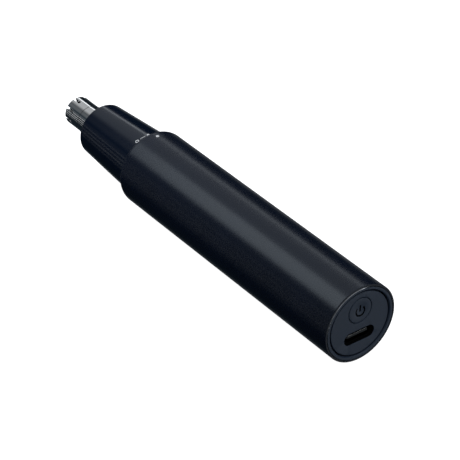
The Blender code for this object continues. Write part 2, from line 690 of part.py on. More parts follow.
def build_cutter(look, frame):
    bore = 4.0
    profile = [
        (5.5, 111.0), (5.5, 112.25), (BAND_BASE_RADIUS, 112.25), (BAND_BASE_RADIUS, HEAD_FRONT),
        (BAND_TIP_RADIUS, BAND_FRONT), (bore, BAND_FRONT), (bore, 111.0),
    ]
    turned("cutter_band", profile, look["steel"], frame, CUTTER_SEGMENTS)
    tube("cutter_seal", bore - SNUG, 2.5, 112.0, 113.0, look["rubber"], frame)
    inside = 3.6
    seam = BAND_FRONT + LOOSE
    profile = [(bore - SNUG, 118.6), (bore - SNUG, seam), (CROWN_RADIUS, seam)]
    profile += reversed(rounded_corner(CROWN_RADIUS, LENGTH, 0.3, 1, 1))
    profile += [(0.9, LENGTH), (0.9, LENGTH - 0.6), (inside, LENGTH - 0.6), (inside, 118.6)]
    crown = turned("outer_cutter", profile, look["steel"], frame, CUTTER_SEGMENTS)
    for index in range(CROWN_SLOTS):
        slot = block(f"crown_slot_{index}", (3.0, 5.5), (-CROWN_SLOT_WIDTH / 2, CROWN_SLOT_WIDTH / 2),
                     (LENGTH - CROWN_SLOT_DEPTH, LENGTH + 1.0), None, frame)
        slot.rotation_euler = (0.0, 0.0, math.radians(CROWN_SLOT_ANGLE + 360.0 / CROWN_SLOTS * index))
        cut(crown, slot)


# ---- power button ----

def build_button(look, button_frame):
    """The dished button; its flange sits behind the cap and its stem reaches the plunger."""
    rim = CAP_FACE
    dish = [(0.0, rim + 0.5), (1.4, rim + 0.3), (2.5, rim + 0.05), (2.9, rim)]
    flange = CAP_BACK + LOOSE
    profile = dish + [
        (BUTTON_RADIUS - 0.15, rim), (BUTTON_RADIUS, rim + 0.15), (BUTTON_RADIUS, flange),
        (3.95, flange), (3.95, flange + 0.6), (1.2, flange + 0.6), (1.2, STEM_END), (0.0, STEM_END),
    ]
    turned("power_button", profile, look["end"], button_frame)
    plunger = [(0.0, STEM_END + SNUG), (1.0, STEM_END + SNUG), (1.0, PLUNGER_END), (0.0, PLUNGER_END)]
    turned("switch_plunger", plunger, look["red"], button_frame, SMALL_SEGMENTS)


def build_trimmer():
    clear_scene()
    look = make_materials()
    axis_frame = make_frame("trimmer_axis")
    button_frame = make_frame("button_axis", axis_frame, BUTTON_UP)
    build_barrel(look, axis_frame)
    build_end_ring(look, axis_frame)
    build_end_cap(look, axis_frame)
    build_port(look, axis_frame)
    build_board(look, axis_frame)
    build_switch(look, axis_frame)
    build_cell(look, axis_frame)
    build_chassis(look, axis_frame)
    build_leads(look, axis_frame)
    build_motor(look, axis_frame)
    build_drive(look, axis_frame)
    build_neck(look, axis_frame)
    build_cartridge(look, axis_frame)
    build_rotor(look, axis_frame)
    build_head(look, axis_frame)
    build_cutter(look, axis_frame)
    build_button(look, button_frame)


build_trimmer()
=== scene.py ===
"""Looks of a cordless nose hair trimmer: its visible pieces, their finishes and a small studio.

The trimmer lies along X. Turned pieces are modelled upright about their own axis, in millimetres:
(up, side, station), where station is the distance from the end face towards the cutting tip. One
matrix then scales them to metres and lays them down in the CAD frame.
"""

import json
import math

import bmesh
import bpy
from mathutils import Matrix, Vector


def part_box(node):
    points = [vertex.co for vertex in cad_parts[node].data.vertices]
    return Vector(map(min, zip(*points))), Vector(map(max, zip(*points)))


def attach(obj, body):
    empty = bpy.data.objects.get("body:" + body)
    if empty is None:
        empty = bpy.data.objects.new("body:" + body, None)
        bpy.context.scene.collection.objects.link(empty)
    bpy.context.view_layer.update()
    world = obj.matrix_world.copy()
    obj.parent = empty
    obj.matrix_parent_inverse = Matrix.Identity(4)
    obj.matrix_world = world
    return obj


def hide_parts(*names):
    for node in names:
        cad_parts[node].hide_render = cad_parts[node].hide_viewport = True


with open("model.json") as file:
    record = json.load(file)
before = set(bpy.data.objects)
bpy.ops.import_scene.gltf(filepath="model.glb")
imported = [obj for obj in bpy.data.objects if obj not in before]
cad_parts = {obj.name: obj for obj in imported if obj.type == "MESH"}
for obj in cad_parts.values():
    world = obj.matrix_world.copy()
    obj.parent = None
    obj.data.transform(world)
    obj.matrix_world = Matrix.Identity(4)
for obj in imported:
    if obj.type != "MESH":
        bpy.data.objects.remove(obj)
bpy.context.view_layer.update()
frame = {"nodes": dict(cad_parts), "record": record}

bl_info = {
    "name": "Nose hair trimmer",
    "version": (1, 0, 0),
    "blender": (4, 5, 0),
    "location": "View3D > Sidebar > Trimmer",
    "description": "Models and finishes the visible pieces of a cordless nose hair trimmer",
    "category": "Object",
}

MM = 0.001
SHARP = math.radians(32)

# Stations, radii and angles inside the neck and the head that the frame's boxes don't give.
NECK_WALL = 88.9
NOSE_RADIUS = 7.27
GROOVE_RADIUS = 6.7
SEAL_GROOVE = (90.6, 91.7)
SPRING_GROOVE = (93.0, 95.2)
SCREW_SIDE = 4.4
FORK_FLOOR = 92.8
THIRDS = (0.0, 120.0, 240.0)
FIRST_LEAF = 60.0
UNLOCK_TRAVEL = 22.5
INSERT_SEAT = 97.5
HEAD_FLOOR = 99.55
HEAD_TIP_RADIUS = 7.77
CARRIER_BORE = 4.6
CARRIER_FLANGE = (98.2, 99.4)
SPINDLE_DISC = (97.6, 98.38)
SPINDLE_HOLE = 1.1

# Tint of what the dark blue-black finishes reflect.
COLD_SHEEN = (0.85, 0.94, 1.0, 1.0)
LAMP_COLOUR = (0.93, 0.965, 1.0)


# ---- places read from the frame ----

def cad_box(node):
    low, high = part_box(node)
    return Vector(low) / MM, Vector(high) / MM


FACE_X = cad_box("end_ring")[1].x
AXIS_Z = (cad_box("barrel")[0].z + cad_box("barrel")[1].z) / 2
LAY_DOWN = (
    Matrix.Scale(MM, 4)
    @ Matrix.Translation((FACE_X, 0.0, AXIS_Z))
    @ Matrix.Rotation(-math.pi / 2, 4, "Y")
)


def back(node):
    """Station of the node's end nearest the end face."""
    return FACE_X - cad_box(node)[1].x


def front(node):
    """Station of the node's end nearest the cutting tip."""
    return FACE_X - cad_box(node)[0].x


def radius(node):
    """The largest radius that stays inside the node's box."""
    low, high = cad_box(node)
    return (high.z - low.z) / 2


def extent(node):
    return back(node), front(node), radius(node)


def up_middle(node):
    """Height of the node's middle above the trimmer's axis."""
    low, high = cad_box(node)
    return (low.z + high.z) / 2 - AXIS_Z


# ---- sizes and colours a user would change ----

def number_setting(name, description, default, **more):
    return bpy.props.FloatProperty(name=name, description=description, default=default, **more)


def length_setting(name, description, metres):
    return number_setting(name, description, metres, unit="LENGTH")


def angle_setting(name, description, degrees):
    return number_setting(name, description, math.radians(degrees), subtype="ANGLE")


def roughness_setting(name, description, default):
    return number_setting(name, description, default, min=0.0, max=1.0, subtype="FACTOR")


def count_setting(name, description, default, low, high):
    return bpy.props.IntProperty(
        name=name, description=description, default=default, min=low, max=high)


def colour_setting(name, description, default):
    return bpy.props.FloatVectorProperty(
        name=name, description=description, default=default, subtype="COLOR", min=0.0, max=1.0)


class TrimmerSizes(bpy.types.PropertyGroup):
    """Sizes of the details that the frame doesn't give."""

    barrel_rounding: length_setting("Barrel rounding", "Radius of the barrel's front edge", 0.0014)
    head_rounding: length_setting("Head rounding", "Radius of the head's front edge", 0.0006)
    ring_chamfer: length_setting("End ring chamfer", "Size of the end ring's bright chamfer", 0.00014)
    dish_depth: length_setting("Button dish", "Depth of the dish in the power button", 0.00030)
    symbol_stroke: length_setting("Symbol stroke", "Width of the power symbol's lines", 0.00046)
    slot_width: length_setting("Crown slot width", "Width of the cutting slots", 0.00085)
    slot_depth: length_setting("Crown slot depth", "Length of the slots down the crown's side", 0.003)
    slots: count_setting("Crown slots", "Number of cutting slots round the crown", 8, 4, 12)
    slot_turn: angle_setting("Slot turn", "Angle of the first slot from straight up", -12.0)
    steps: count_setting("Steps", "Steps round the large turned pieces", 160, 32, 256)
    small_steps: count_setting("Small steps", "Steps round the small turned pieces", 64, 16, 128)


class TrimmerFinishes(bpy.types.PropertyGroup):
    """Colours and roughness of the visible finishes."""

    barrel: colour_setting("Barrel", "Anodised barrel", (0.0022, 0.0050, 0.0165))
    head: colour_setting("Head", "Satin plastic of the head", (0.0014, 0.0048, 0.0160))
    end: colour_setting("End face", "Plastic of the end ring, disc and button", (0.0310, 0.0470, 0.0810))
    steel: colour_setting("Steel", "Ground steel of the cutter", (0.76, 0.76, 0.76))
    print_ink: colour_setting("Print", "Ink of the lock marks", (0.86, 0.87, 0.88))
    barrel_roughness: roughness_setting("Barrel roughness", "Roughness of the anodised barrel", 0.28)
    head_roughness: roughness_setting("Head roughness", "Roughness of the head's plastic", 0.15)
    end_roughness: roughness_setting("End roughness", "Roughness of the end face's plastic", 0.42)


class TrimmerStudio(bpy.types.PropertyGroup):
    """The camera and the lights."""

    azimuth: angle_setting("Azimuth", "Camera's angle round the trimmer", 53.5)
    elevation: angle_setting("Elevation", "Camera's angle above the floor", 34.11)
    distance: length_setting("Distance", "Camera's distance from the point it looks at", 0.5287)
    lens: number_setting("Lens", "Focal length in millimetres", 155.9)
    surround: number_setting("Surround", "Strength of the soft boxes round the trimmer", 1.0)
    key: number_setting("Key", "Power of the key light in watts", 0.082)
    floor: number_setting("Floor", "How strongly the pale sweep glows", 0.97)


# ---- modelling helpers ----

def rounded(corners, steps=6):
    """Outline points from (radius, station, rounding) corners, each rounding drawn as an arc."""
    points = []
    for index, corner in enumerate(corners):
        here = Vector(corner[:2])
        rounding = corner[2] if len(corner) > 2 else 0.0
        if rounding <= 0.0:
            points.append(here)
            continue
        before = (Vector(corners[index - 1][:2]) - here).normalized()
        after = (Vector(corners[(index + 1) % len(corners)][:2]) - here).normalized()
        half = before.angle(after) / 2
        middle = here + (before + after).normalized() * rounding / math.sin(half)
        start = here + before * rounding / math.tan(half) - middle
        end = here + after * rounding / math.tan(half) - middle
        sweep = start.angle_signed(end)
        for step in range(steps + 1):
            points.append(middle + Matrix.Rotation(-sweep * step / steps, 2) @ start)
    return points


def section(inner, outer, start, end, *roundings):
    """Corners of a ring's four-sided section, with one rounding for all of them or one for each."""
    places = ((inner, start), (outer, start), (outer, end), (inner, end))
    if len(roundings) == 1:
        roundings *= len(places)
    return [(*place, rounding) for place, rounding in zip(places, roundings)]


def chain(bm, places, closed=False):
    """Vertices at the places, and the edges from each to the next."""
    verts = [bm.verts.new(place) for place in places]
    pairs = list(zip(verts, verts[1:]))
    if closed:
        pairs.append((verts[-1], verts[0]))
    return verts + [bm.edges.new(pair) for pair in pairs]


def spin(bm, geometry, degrees, steps, merge=True, rise=0.0):
    """Sweep geometry about the axis, and along it by the rise at each step."""
    bmesh.ops.spin(
        bm, geom=geometry, cent=(0.0, 0.0, 0.0), axis=(0.0, 0.0, 1.0), dvec=(0.0, 0.0, rise),
        angle=math.radians(degrees), steps=steps, use_merge=merge)


def turned(points, steps, sweep=360.0, start=0.0):
    """Spin an upright outline about the axis. An outline that starts and ends on the axis makes a
    solid shape, and any other is closed first."""
    bm = bmesh.new()
    whole = sweep >= 360.0
    turn = Matrix.Rotation(math.radians(start), 3, "Z")
    places = [turn @ Vector((point[0], 0.0, point[1])) for point in points]
    geometry = chain(bm, places, points[0][0] > 0.0 or points[-1][0] > 0.0)
    if not whole:
        geometry.append(bm.faces.new(geometry[:len(points)]))
    spin(bm, geometry, sweep, steps, whole)
    bmesh.ops.remove_doubles(bm, verts=bm.verts, dist=1e-5)
    return bm


def bar(low, high, rounding=0.0, segments=2):
    """A box between two (up, side, station) corners, with every edge rounded."""
    bm = bmesh.new()
    low = Vector(low)
    high = Vector(high)
    bmesh.ops.create_cube(bm, size=1.0)
    bmesh.ops.scale(bm, vec=high - low, verts=bm.verts)
    bmesh.ops.translate(bm, vec=(low + high) / 2, verts=bm.verts)
    if rounding > 0.0:
        round_edges(bm, bm.edges, rounding, segments)
    return bm


def round_edges(bm, edges, rounding, segments=2):
    bmesh.ops.bevel(
        bm, geom=list(edges), offset=rounding, offset_type="OFFSET", segments=segments,
        profile=0.5, affect="EDGES", clamp_overlap=True, material=-1)


def round_mouth(bm, below, rounding):
    """Round the sharp edges that lie nearer the end face than a station."""
    rims = [
        edge for edge in bm.edges
        if edge.calc_face_angle(0.0) > 0.5 and all(vert.co.z < below for vert in edge.verts)
    ]
    round_edges(bm, rims, rounding, 3)


def lift(bm, extruded, distance):
    """Move what an extrusion made along the axis."""
    far = [part for part in extruded["geom"] if isinstance(part, bmesh.types.BMVert)]
    bmesh.ops.translate(bm, verts=far, vec=(0.0, 0.0, distance))


def thicken(bm, wall):
    """Give a skin its wall."""
    bmesh.ops.recalc_face_normals(bm, faces=bm.faces)
    bmesh.ops.solidify(bm, geom=list(bm.faces), thickness=wall)
    bmesh.ops.recalc_face_normals(bm, faces=bm.faces)


def add_to(target, extra):
    """Move the extra shape's geometry into the target bmesh."""
    mesh = bpy.data.meshes.new("joined")
    extra.to_mesh(mesh)
    extra.free()
    target.from_mesh(mesh)
    bpy.data.meshes.remove(mesh)


def turn_about_axis(bm, degrees):
    bmesh.ops.rotate(
        bm, verts=bm.verts, cent=(0.0, 0.0, 0.0),
        matrix=Matrix.Rotation(math.radians(degrees), 3, "Z"))


def shift(bm, up=0.0, side=0.0, station=0.0):
    bmesh.ops.translate(bm, verts=bm.verts, vec=(up, side, station))


def bars_round(angles, *size):
    """The same bar at each angle round the axis."""
    bars = [bar(*size) for _ in angles]
    for each, degrees in zip(bars, angles):
        turn_about_axis(each, degrees)
    return bars


def circle(bm, up, segments, size):
    """A round outline whose middle lies at a height above the axis."""
    before = set(bm.verts)
    bmesh.ops.create_circle(bm, segments=segments, radius=size)
    new = [vert for vert in bm.verts if vert not in before]
    bmesh.ops.translate(bm, verts=new, vec=(up, 0.0, 0.0))


def slot_loop(bm, up, station, width, height, segments=48):
    """A round-ended slot outline, its long way along the side."""
    before = set(bm.verts)
    turn = Matrix.Rotation(math.pi / segments, 4, "Z")
    bmesh.ops.create_circle(bm, segments=segments, radius=height / 2, matrix=turn)
    new = [vert for vert in bm.verts if vert not in before]
    reach = (width - height) / 2
    for vert in new:
        vert.co.y += math.copysign(reach, vert.co.y)
    bmesh.ops.translate(bm, verts=new, vec=(up, 0.0, station))


def smooth(mesh):
    mesh.shade_smooth()
    mesh.set_sharp_from_angle(angle=SHARP)


def face_outward(bm):
    bmesh.ops.recalc_face_normals(bm, faces=bm.faces)
    if bm.calc_volume(signed=True) < 0.0:
        bmesh.ops.reverse_faces(bm, faces=bm.faces)


def to_object(name, bm, materials):
    """Lay the upright shape down and make it an object at the origin, smooth where it curves."""
    face_outward(bm)
    bmesh.ops.transform(bm, matrix=LAY_DOWN, verts=bm.verts)
    mesh = bpy.data.meshes.new(name)
    bm.to_mesh(mesh)
    bm.free()
    smooth(mesh)
    for material in materials:
        mesh.materials.append(material)
    piece = bpy.data.objects.new(name, mesh)
    bpy.context.scene.collection.objects.link(piece)
    return piece


def place(name, bm, body, slot, replaces=(), finish=None, accent=None, carved=()):
    """Finish a piece: give it the slot's finish or another, and perhaps an accent for what is
    carved. Carve its cutters out, hang it on its body's empty, and hide the parts it stands for."""
    finishes = [finish or slot] + ([accent] if accent else [])
    piece = to_object(name, bm, [finish_of(each) for each in finishes])
    for cutter_shape in carved:
        carve(piece, cutter_shape, len(finishes) - 1)
    modifier = piece.modifiers.new("weighted_normals", "WEIGHTED_NORMAL")
    modifier.mode = "FACE_AREA"
    modifier.keep_sharp = True
    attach(piece, body)
    if replaces:
        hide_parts(*replaces)


def carve(piece, cutter_shape, material_index):
    """Cut a shape out of the piece and keep the result as its mesh."""
    for face in cutter_shape.faces:
        face.material_index = material_index
    cutter = to_object(piece.name + "_cutter", cutter_shape, piece.data.materials)
    modifier = piece.modifiers.new("carve", "BOOLEAN")
    modifier.operation = "DIFFERENCE"
    modifier.solver = "EXACT"
    modifier.object = cutter
    shown = piece.evaluated_get(bpy.context.evaluated_depsgraph_get())
    mesh = bpy.data.meshes.new_from_object(shown)
    piece.modifiers.clear()
    piece.data = mesh
    mesh.name = piece.name
    smooth(mesh)
    bpy.data.objects.remove(cutter, do_unlink=True)


# ---- finishes ----

def feed(tree, socket, value):
    """Link a socket to another node's output, or give it a constant."""
    if isinstance(value, bpy.types.NodeSocket):
        tree.links.new(value, socket)
    else:
        socket.default_value = value


def add_node(tree, kind, **inputs):
    made = tree.nodes.new(kind)
    for name, value in inputs.items():
        feed(tree, made.inputs[name.replace("_", " ")], value)
    return made


def calculate(tree, operation, first, second=0.0):
    made = tree.nodes.new("ShaderNodeMath")
    made.operation = operation
    feed(tree, made.inputs[0], first)
    feed(tree, made.inputs[1], second)
    return made.outputs[0]


def blend(tree, factor, first, second):
    """A colour between two, by a factor."""
    made = tree.nodes.new("ShaderNodeMix")
    made.data_type = "RGBA"
    for index, value in ((0, factor), (6, first), (7, second)):
        feed(tree, made.inputs[index], value)
    return made.outputs[2]


class Finish:
    """A Principled material with the nodes that the finishes here share."""

    def __init__(self, name, base, roughness, metallic=0.0):
        self.material = bpy.data.materials.new(name)
        self.material.use_nodes = True
        self.tree = self.material.node_tree
        self.shader = self.tree.nodes["Principled BSDF"].inputs
        self.shader["Base Color"].default_value = (*base, 1.0)
        self.shader["Roughness"].default_value = roughness
        self.shader["Metallic"].default_value = metallic
        self.base = base

    def position(self):
        return add_node(self.tree, "ShaderNodeTexCoord").outputs["Object"]

    def round_the_axis(self, per_turn, per_metre):
        """Coordinates that follow a turned surface: turns scaled, then distance along X scaled."""
        tree = self.tree
        split = add_node(tree, "ShaderNodeSeparateXYZ", Vector=self.position()).outputs
        height = calculate(tree, "SUBTRACT", split["Z"], AXIS_Z * MM)
        turn = calculate(tree, "ARCTAN2", split["Y"], height)
        around = calculate(tree, "MULTIPLY", turn, per_turn / (2 * math.pi))
        along = calculate(tree, "MULTIPLY", split["X"], per_metre)
        return add_node(tree, "ShaderNodeCombineXYZ", X=around, Y=along).outputs[0]

    def noise(self, scale, detail=2.0, vector=None):
        vector = vector or self.position()
        made = add_node(self.tree, "ShaderNodeTexNoise", Vector=vector, Scale=scale, Detail=detail)
        return made.outputs["Fac"]

    def spread(self, value, low, high, start=0.3, end=0.7):
        """Map a noise value's useful range onto low..high."""
        made = add_node(self.tree, "ShaderNodeMapRange", Value=value, From_Min=start,
                        From_Max=end, To_Min=low, To_Max=high)
        return made.outputs["Result"]

    def texture(self, shades, gloss, bump):
        """Vary the colour by (noise, darkest, lightest), the roughness by (noise, lowest, highest)
        and the surface by (noise, strength, depth)."""
        noise, darkest, lightest = shades
        dark = (*[part * darkest for part in self.base], 1.0)
        light = (*[min(part * lightest, 1.0) for part in self.base], 1.0)
        mixed = blend(self.tree, self.spread(noise, 0.0, 1.0), dark, light)
        feed(self.tree, self.shader["Base Color"], mixed)
        if gloss:
            feed(self.tree, self.shader["Roughness"], self.spread(*gloss))
        noise, strength, depth = bump
        made = add_node(self.tree, "ShaderNodeBump", Height=noise, Strength=strength,
                        Distance=depth)
        feed(self.tree, self.shader["Normal"], made.outputs["Normal"])
        return self.material


def blasted_anodising(name, base, roughness):
    """Bead-blasted and anodised metal: a fine dimpled grain under a thin hard film."""
    finish = Finish(name, base, roughness)
    finish.shader["IOR"].default_value = 1.47
    finish.shader["Specular Tint"].default_value = COLD_SHEEN
    grain = finish.noise(3600.0, 3.0)
    return finish.texture((finish.noise(90.0), 0.88, 1.12),
                          (grain, roughness - 0.05, roughness + 0.05), (grain, 0.22, 0.00002))


def moulded_plastic(name, base, roughness, grain=0.08, scale=2400.0):
    """Fine spark-eroded texture from the mould, with a slight drift in gloss."""
    finish = Finish(name, base, roughness)
    finish.shader["Specular Tint"].default_value = COLD_SHEEN
    drift = finish.noise(60.0)
    return finish.texture((drift, 0.92, 1.08), (drift, roughness - 0.03, roughness + 0.03),
                          (finish.noise(scale), grain, 0.00002))


def black_symbol_and_painted_shade(name, base):
    """Near-black etched plastic that hardly shines: painted shade on the socket opening's walls, and the
    engraved power symbol.
    """
    finish = Finish(name, base, 0.85)
    finish.shader["Specular IOR Level"].default_value = 0.12
    etching = finish.noise(3200.0)
    return finish.texture((etching, 0.8, 1.2), None, (etching, 0.2, 0.00002))


def ground_steel(name, base, roughness, rings=5200.0):
    """Steel turned and ground round the axis: fine rings, and faint polish lines along it."""
    finish = Finish(name, base, roughness, 1.0)
    ring = finish.noise(1.0, 3.0, finish.round_the_axis(4.0, rings))
    line = finish.noise(1.0, 2.0, finish.round_the_axis(260.0, 90.0))
    return finish.texture((line, 0.90, 1.06), (line, roughness - 0.03, roughness + 0.05),
                          (ring, 0.10, 0.00001))


def plated_metal(name, base, roughness):
    """Stamped and plated sheet: small waves and a little tarnish."""
    finish = Finish(name, base, roughness, 1.0)
    wave, tarnish = finish.noise(420.0), finish.noise(1600.0, 3.0)
    return finish.texture((wave, 0.88, 1.05), (tarnish, roughness - 0.06, roughness + 0.10),
                          (wave, 0.08, 0.00004))


def soft_rubber(name, base):
    finish = Finish(name, base, 0.72)
    bloom = finish.noise(900.0, 3.0)
    return finish.texture((bloom, 0.8, 1.3), (bloom, 0.62, 0.82), (bloom, 0.15, 0.00003))


def cell_foam(name, base):
    finish = Finish(name, base, 0.95)
    cells = add_node(finish.tree, "ShaderNodeTexVoronoi", Vector=finish.position(), Scale=2200.0)
    return finish.texture((finish.noise(1500.0), 0.7, 1.25), None,
                          (cells.outputs["Distance"], 0.6, 0.0001))


def printed_ink(name, base):
    finish = Finish(name, base, 0.45)
    speck = finish.noise(5200.0)
    return finish.texture((speck, 0.94, 1.0), None, (speck, 0.1, 0.00001))


def sintered_metal(name, base, roughness, metallic):
    finish = Finish(name, base, roughness, metallic)
    pores = finish.noise(2600.0, 3.0)
    return finish.texture((pores, 0.72, 1.15),
                          (pores, roughness - 0.08, min(roughness + 0.12, 1.0)),
                          (pores, 0.25, 0.00003))


def circuit_lacquer(name, base):
    """Solder lacquer with the copper tracks showing through as slightly lighter lines."""
    finish = Finish(name, base, 0.38)
    finish.shader["Coat Weight"].default_value = 0.4
    bricks = add_node(finish.tree, "ShaderNodeTexBrick", Vector=finish.position(), Scale=190.0)
    tracks = bricks.outputs["Fac"]
    return finish.texture((tracks, 1.0, 1.9), None, (tracks, 0.3, 0.00003))


def make_finishes(colours):
    """Every finish by the record's material slot, with the extra ones that only looks need."""
    return {
        "anodised": blasted_anodising("anodised_blue_black", colours.barrel,
                                      colours.barrel_roughness),
        "satin": moulded_plastic("satin_black_plastic", colours.head, colours.head_roughness,
                                 0.03, 1500.0),
        "end_plastic": moulded_plastic("slate_plastic", colours.end, colours.end_roughness),
        "steel": ground_steel("ground_steel", colours.steel, 0.07),
        "blade": ground_steel("polished_blade_steel", colours.steel, 0.10, 2600.0),
        "black_nylon": moulded_plastic("black_nylon", (0.014, 0.014, 0.016), 0.50, 0.15),
        "cut_edge": ground_steel("cut_edge", (0.30, 0.31, 0.33), 0.18, 900.0),
        # Near-black accent: painted shade on the socket opening's walls; also the engraved power
        # symbol's colour.
        "dark": black_symbol_and_painted_shade("symbol_and_painted_shade_black", (0.0012, 0.0016, 0.0024)),
        "rubber": soft_rubber("black_rubber", (0.012, 0.012, 0.013)),
        "foam": cell_foam("grey_foam", (0.13, 0.13, 0.135)),
        "board": circuit_lacquer("board_lacquer", (0.012, 0.085, 0.040)),
        # Near-black plating for the socket's shell: painted shade deep inside the socket.
        "painted_shade_plating": plated_metal("painted_shade_shell", (0.010, 0.010, 0.012), 0.45),
        "chip": moulded_plastic("chip_package", (0.006, 0.006, 0.007), 0.42, 0.12),
        "tantalum": moulded_plastic("ochre_package", (0.55, 0.33, 0.05), 0.45),
        "wrap": moulded_plastic("shrink_sleeve", (0.03, 0.13, 0.42), 0.30, 0.05, 700.0),
        "nickel": plated_metal("nickel_plate", (0.60, 0.59, 0.56), 0.24),
        "brass": plated_metal("stamped_brass", (0.72, 0.52, 0.22), 0.28),
        "gold": plated_metal("gold_contacts", (0.83, 0.62, 0.26), 0.22),
        "copper": plated_metal("copper", (0.72, 0.33, 0.18), 0.30),
        "magnet": sintered_metal("ferrite", (0.045, 0.042, 0.042), 0.62, 0.0),
        "bronze": sintered_metal("sintered_bronze", (0.48, 0.30, 0.13), 0.42, 1.0),
        "wire_red": moulded_plastic("red_insulation", (0.52, 0.02, 0.015), 0.42, 0.04),
        "wire_blue": moulded_plastic("blue_insulation", (0.02, 0.06, 0.42), 0.42, 0.04),
        "acetal": moulded_plastic("white_acetal", (0.68, 0.68, 0.65), 0.36, 0.06),
        "ink": printed_ink("white_ink", colours.print_ink),
    }


def finish_of(slot):
    """The finish made for a slot; the finishes operator runs first."""
    return bpy.data.materials[bpy.context.scene["trimmer_finish_names"][slot]]


# ---- pieces ----

class TrimmerOperator:
    """What every piece's operator shares."""

    bl_options = {"REGISTER", "UNDO"}

    def execute(self, context):
        self.make(context.scene.trimmer_sizes)
        return {"FINISHED"}


class TRIMMER_OT_finishes(bpy.types.Operator):
    """Make the finishes and give each carried-over piece its own"""

    bl_idname = "trimmer.finishes"
    bl_label = "Finishes"

    def execute(self, context):
        finishes = make_finishes(context.scene.trimmer_finishes)
        names = {slot: material.name for slot, material in finishes.items()}
        context.scene["trimmer_finish_names"] = names
        for part in frame["record"]["subparts"]:
            node = frame["nodes"][part["node"]]
            node.data.materials.clear()
            node.data.materials.append(finishes[part["material_slot"]])
        return {"FINISHED"}


class TRIMMER_OT_barrel(TrimmerOperator, bpy.types.Operator):
    """Anodised barrel with its rounded front edge"""

    bl_idname = "trimmer.barrel"
    bl_label = "Barrel"

    def make(self, sizes):
        start, end, outer = extent("barrel")
        wall = 0.75
        bore = outer - wall
        mouth = radius("end_ring") + 0.06
        shoulder = start + 1.6
        lip = radius("neck_seal") + 0.28
        outline = rounded([
            (bore, shoulder), (mouth, shoulder), (mouth, start, 0.03), (outer, start, 0.15),
            (outer, end, sizes.barrel_rounding / MM), (lip, end, 0.15), (lip, end - wall, 0.1),
            (bore, end - wall),
        ])
        place("barrel_shell", turned(outline, sizes.steps), "handle", "anodised", ["barrel"])


def end_ring(sizes):
    """The ring in the barrel's mouth, its outer chamfer cut bright."""
    outer, end = radius("end_ring"), front("end_ring")
    hole = radius("end_cap") + 0.38
    inner_chamfer = 0.22
    cut = sizes.ring_chamfer / MM
    plug, plug_start = radius("barrel") - 0.98, 1.5
    ring = turned(rounded([
        (hole, end), (hole, inner_chamfer, 0.06), (hole + inner_chamfer, 0.0, 0.06),
        (outer - cut, 0.0, 0.02), (outer, cut, 0.02), (outer, plug_start, 0.08),
        (plug, plug_start), (plug, end, 0.2),
    ]), sizes.steps)
    face_outward(ring)
    for part in ring.faces:
        outside = part.calc_center_median().xy.length > outer - cut
        slanted = 0.3 < abs(part.normal.z) < 0.97
        part.material_index = 1 if outside and slanted else 0
    return ring


def end_disc(sizes):
    """A plate filled between its rim, the socket's opening and the button's hole."""
    face, edge = back("end_cap"), radius("end_cap")
    thickness = 1.75
    opening_width, opening_height = 9.4, 3.46
    button_hole = 3.65
    bm = bmesh.new()
    circle(bm, 0.0, sizes.steps, edge)
    slot_loop(bm, up_middle("usb_shell"), 0.0, opening_width, opening_height, 64)
    circle(bm, up_middle("power_button"), sizes.small_steps, button_hole)
    bmesh.ops.triangle_fill(bm, edges=list(bm.edges), use_beauty=True)
    lift(bm, bmesh.ops.extrude_face_region(bm, geom=list(bm.faces)), thickness)
    shift(bm, station=face)
    bmesh.ops.recalc_face_normals(bm, faces=bm.faces)
    round_mouth(bm, face + 0.1, 0.12)
    # The walls round the socket's opening take the near-black accent: painted shade in the opening.
    for part in bm.faces:
        middle = part.calc_center_median()
        in_opening = middle.x < 0.0 and middle.xy.length < edge - 0.5
        part.material_index = 1 if in_opening and abs(part.normal.z) < 0.5 else 0
    return bm


class TRIMMER_OT_end_face(TrimmerOperator, bpy.types.Operator):
    """End ring and the recessed end disc with its socket opening and button hole"""

    bl_idname = "trimmer.end_face"
    bl_label = "End face"

    def make(self, sizes):
        place("end_ring_trim", end_ring(sizes), "handle", "end_plastic", ["end_ring"],
              accent="cut_edge")
        # The disc's near-black accent is painted shade on the socket opening's walls.
        place("end_disc", end_disc(sizes), "handle", "end_plastic", ["end_cap"], accent="dark")
        face, end, edge = extent("end_cap")
        skirt_wall = 0.75
        skirt = rounded(section(edge - skirt_wall, edge, face + 1.2, end, 0.0, 0.0, 0.1, 0.1))
        place("end_disc_skirt", turned(skirt, sizes.steps), "handle", "end_plastic", ["end_cap"])


def power_symbol(stroke, middle, floor):
    """The open ring and the bar of a power symbol, as two cutters."""
    ring, half_gap = 1.32, 42.0
    bar_start, bar_end = -0.22, 1.83
    up, aside = middle - 0.38, 0.18
    half = stroke / 2
    low, high = floor - 1.0, floor + 0.14
    outline = rounded(section(ring - half, ring + half, low, high, 0.0))
    arc = turned(outline, 40, 360.0 - 2 * half_gap, half_gap)
    stem = bar((bar_start, -half, low), (bar_end, half, high))
    for cutter in (arc, stem):
        shift(cutter, up=up, side=aside)
    return arc, stem


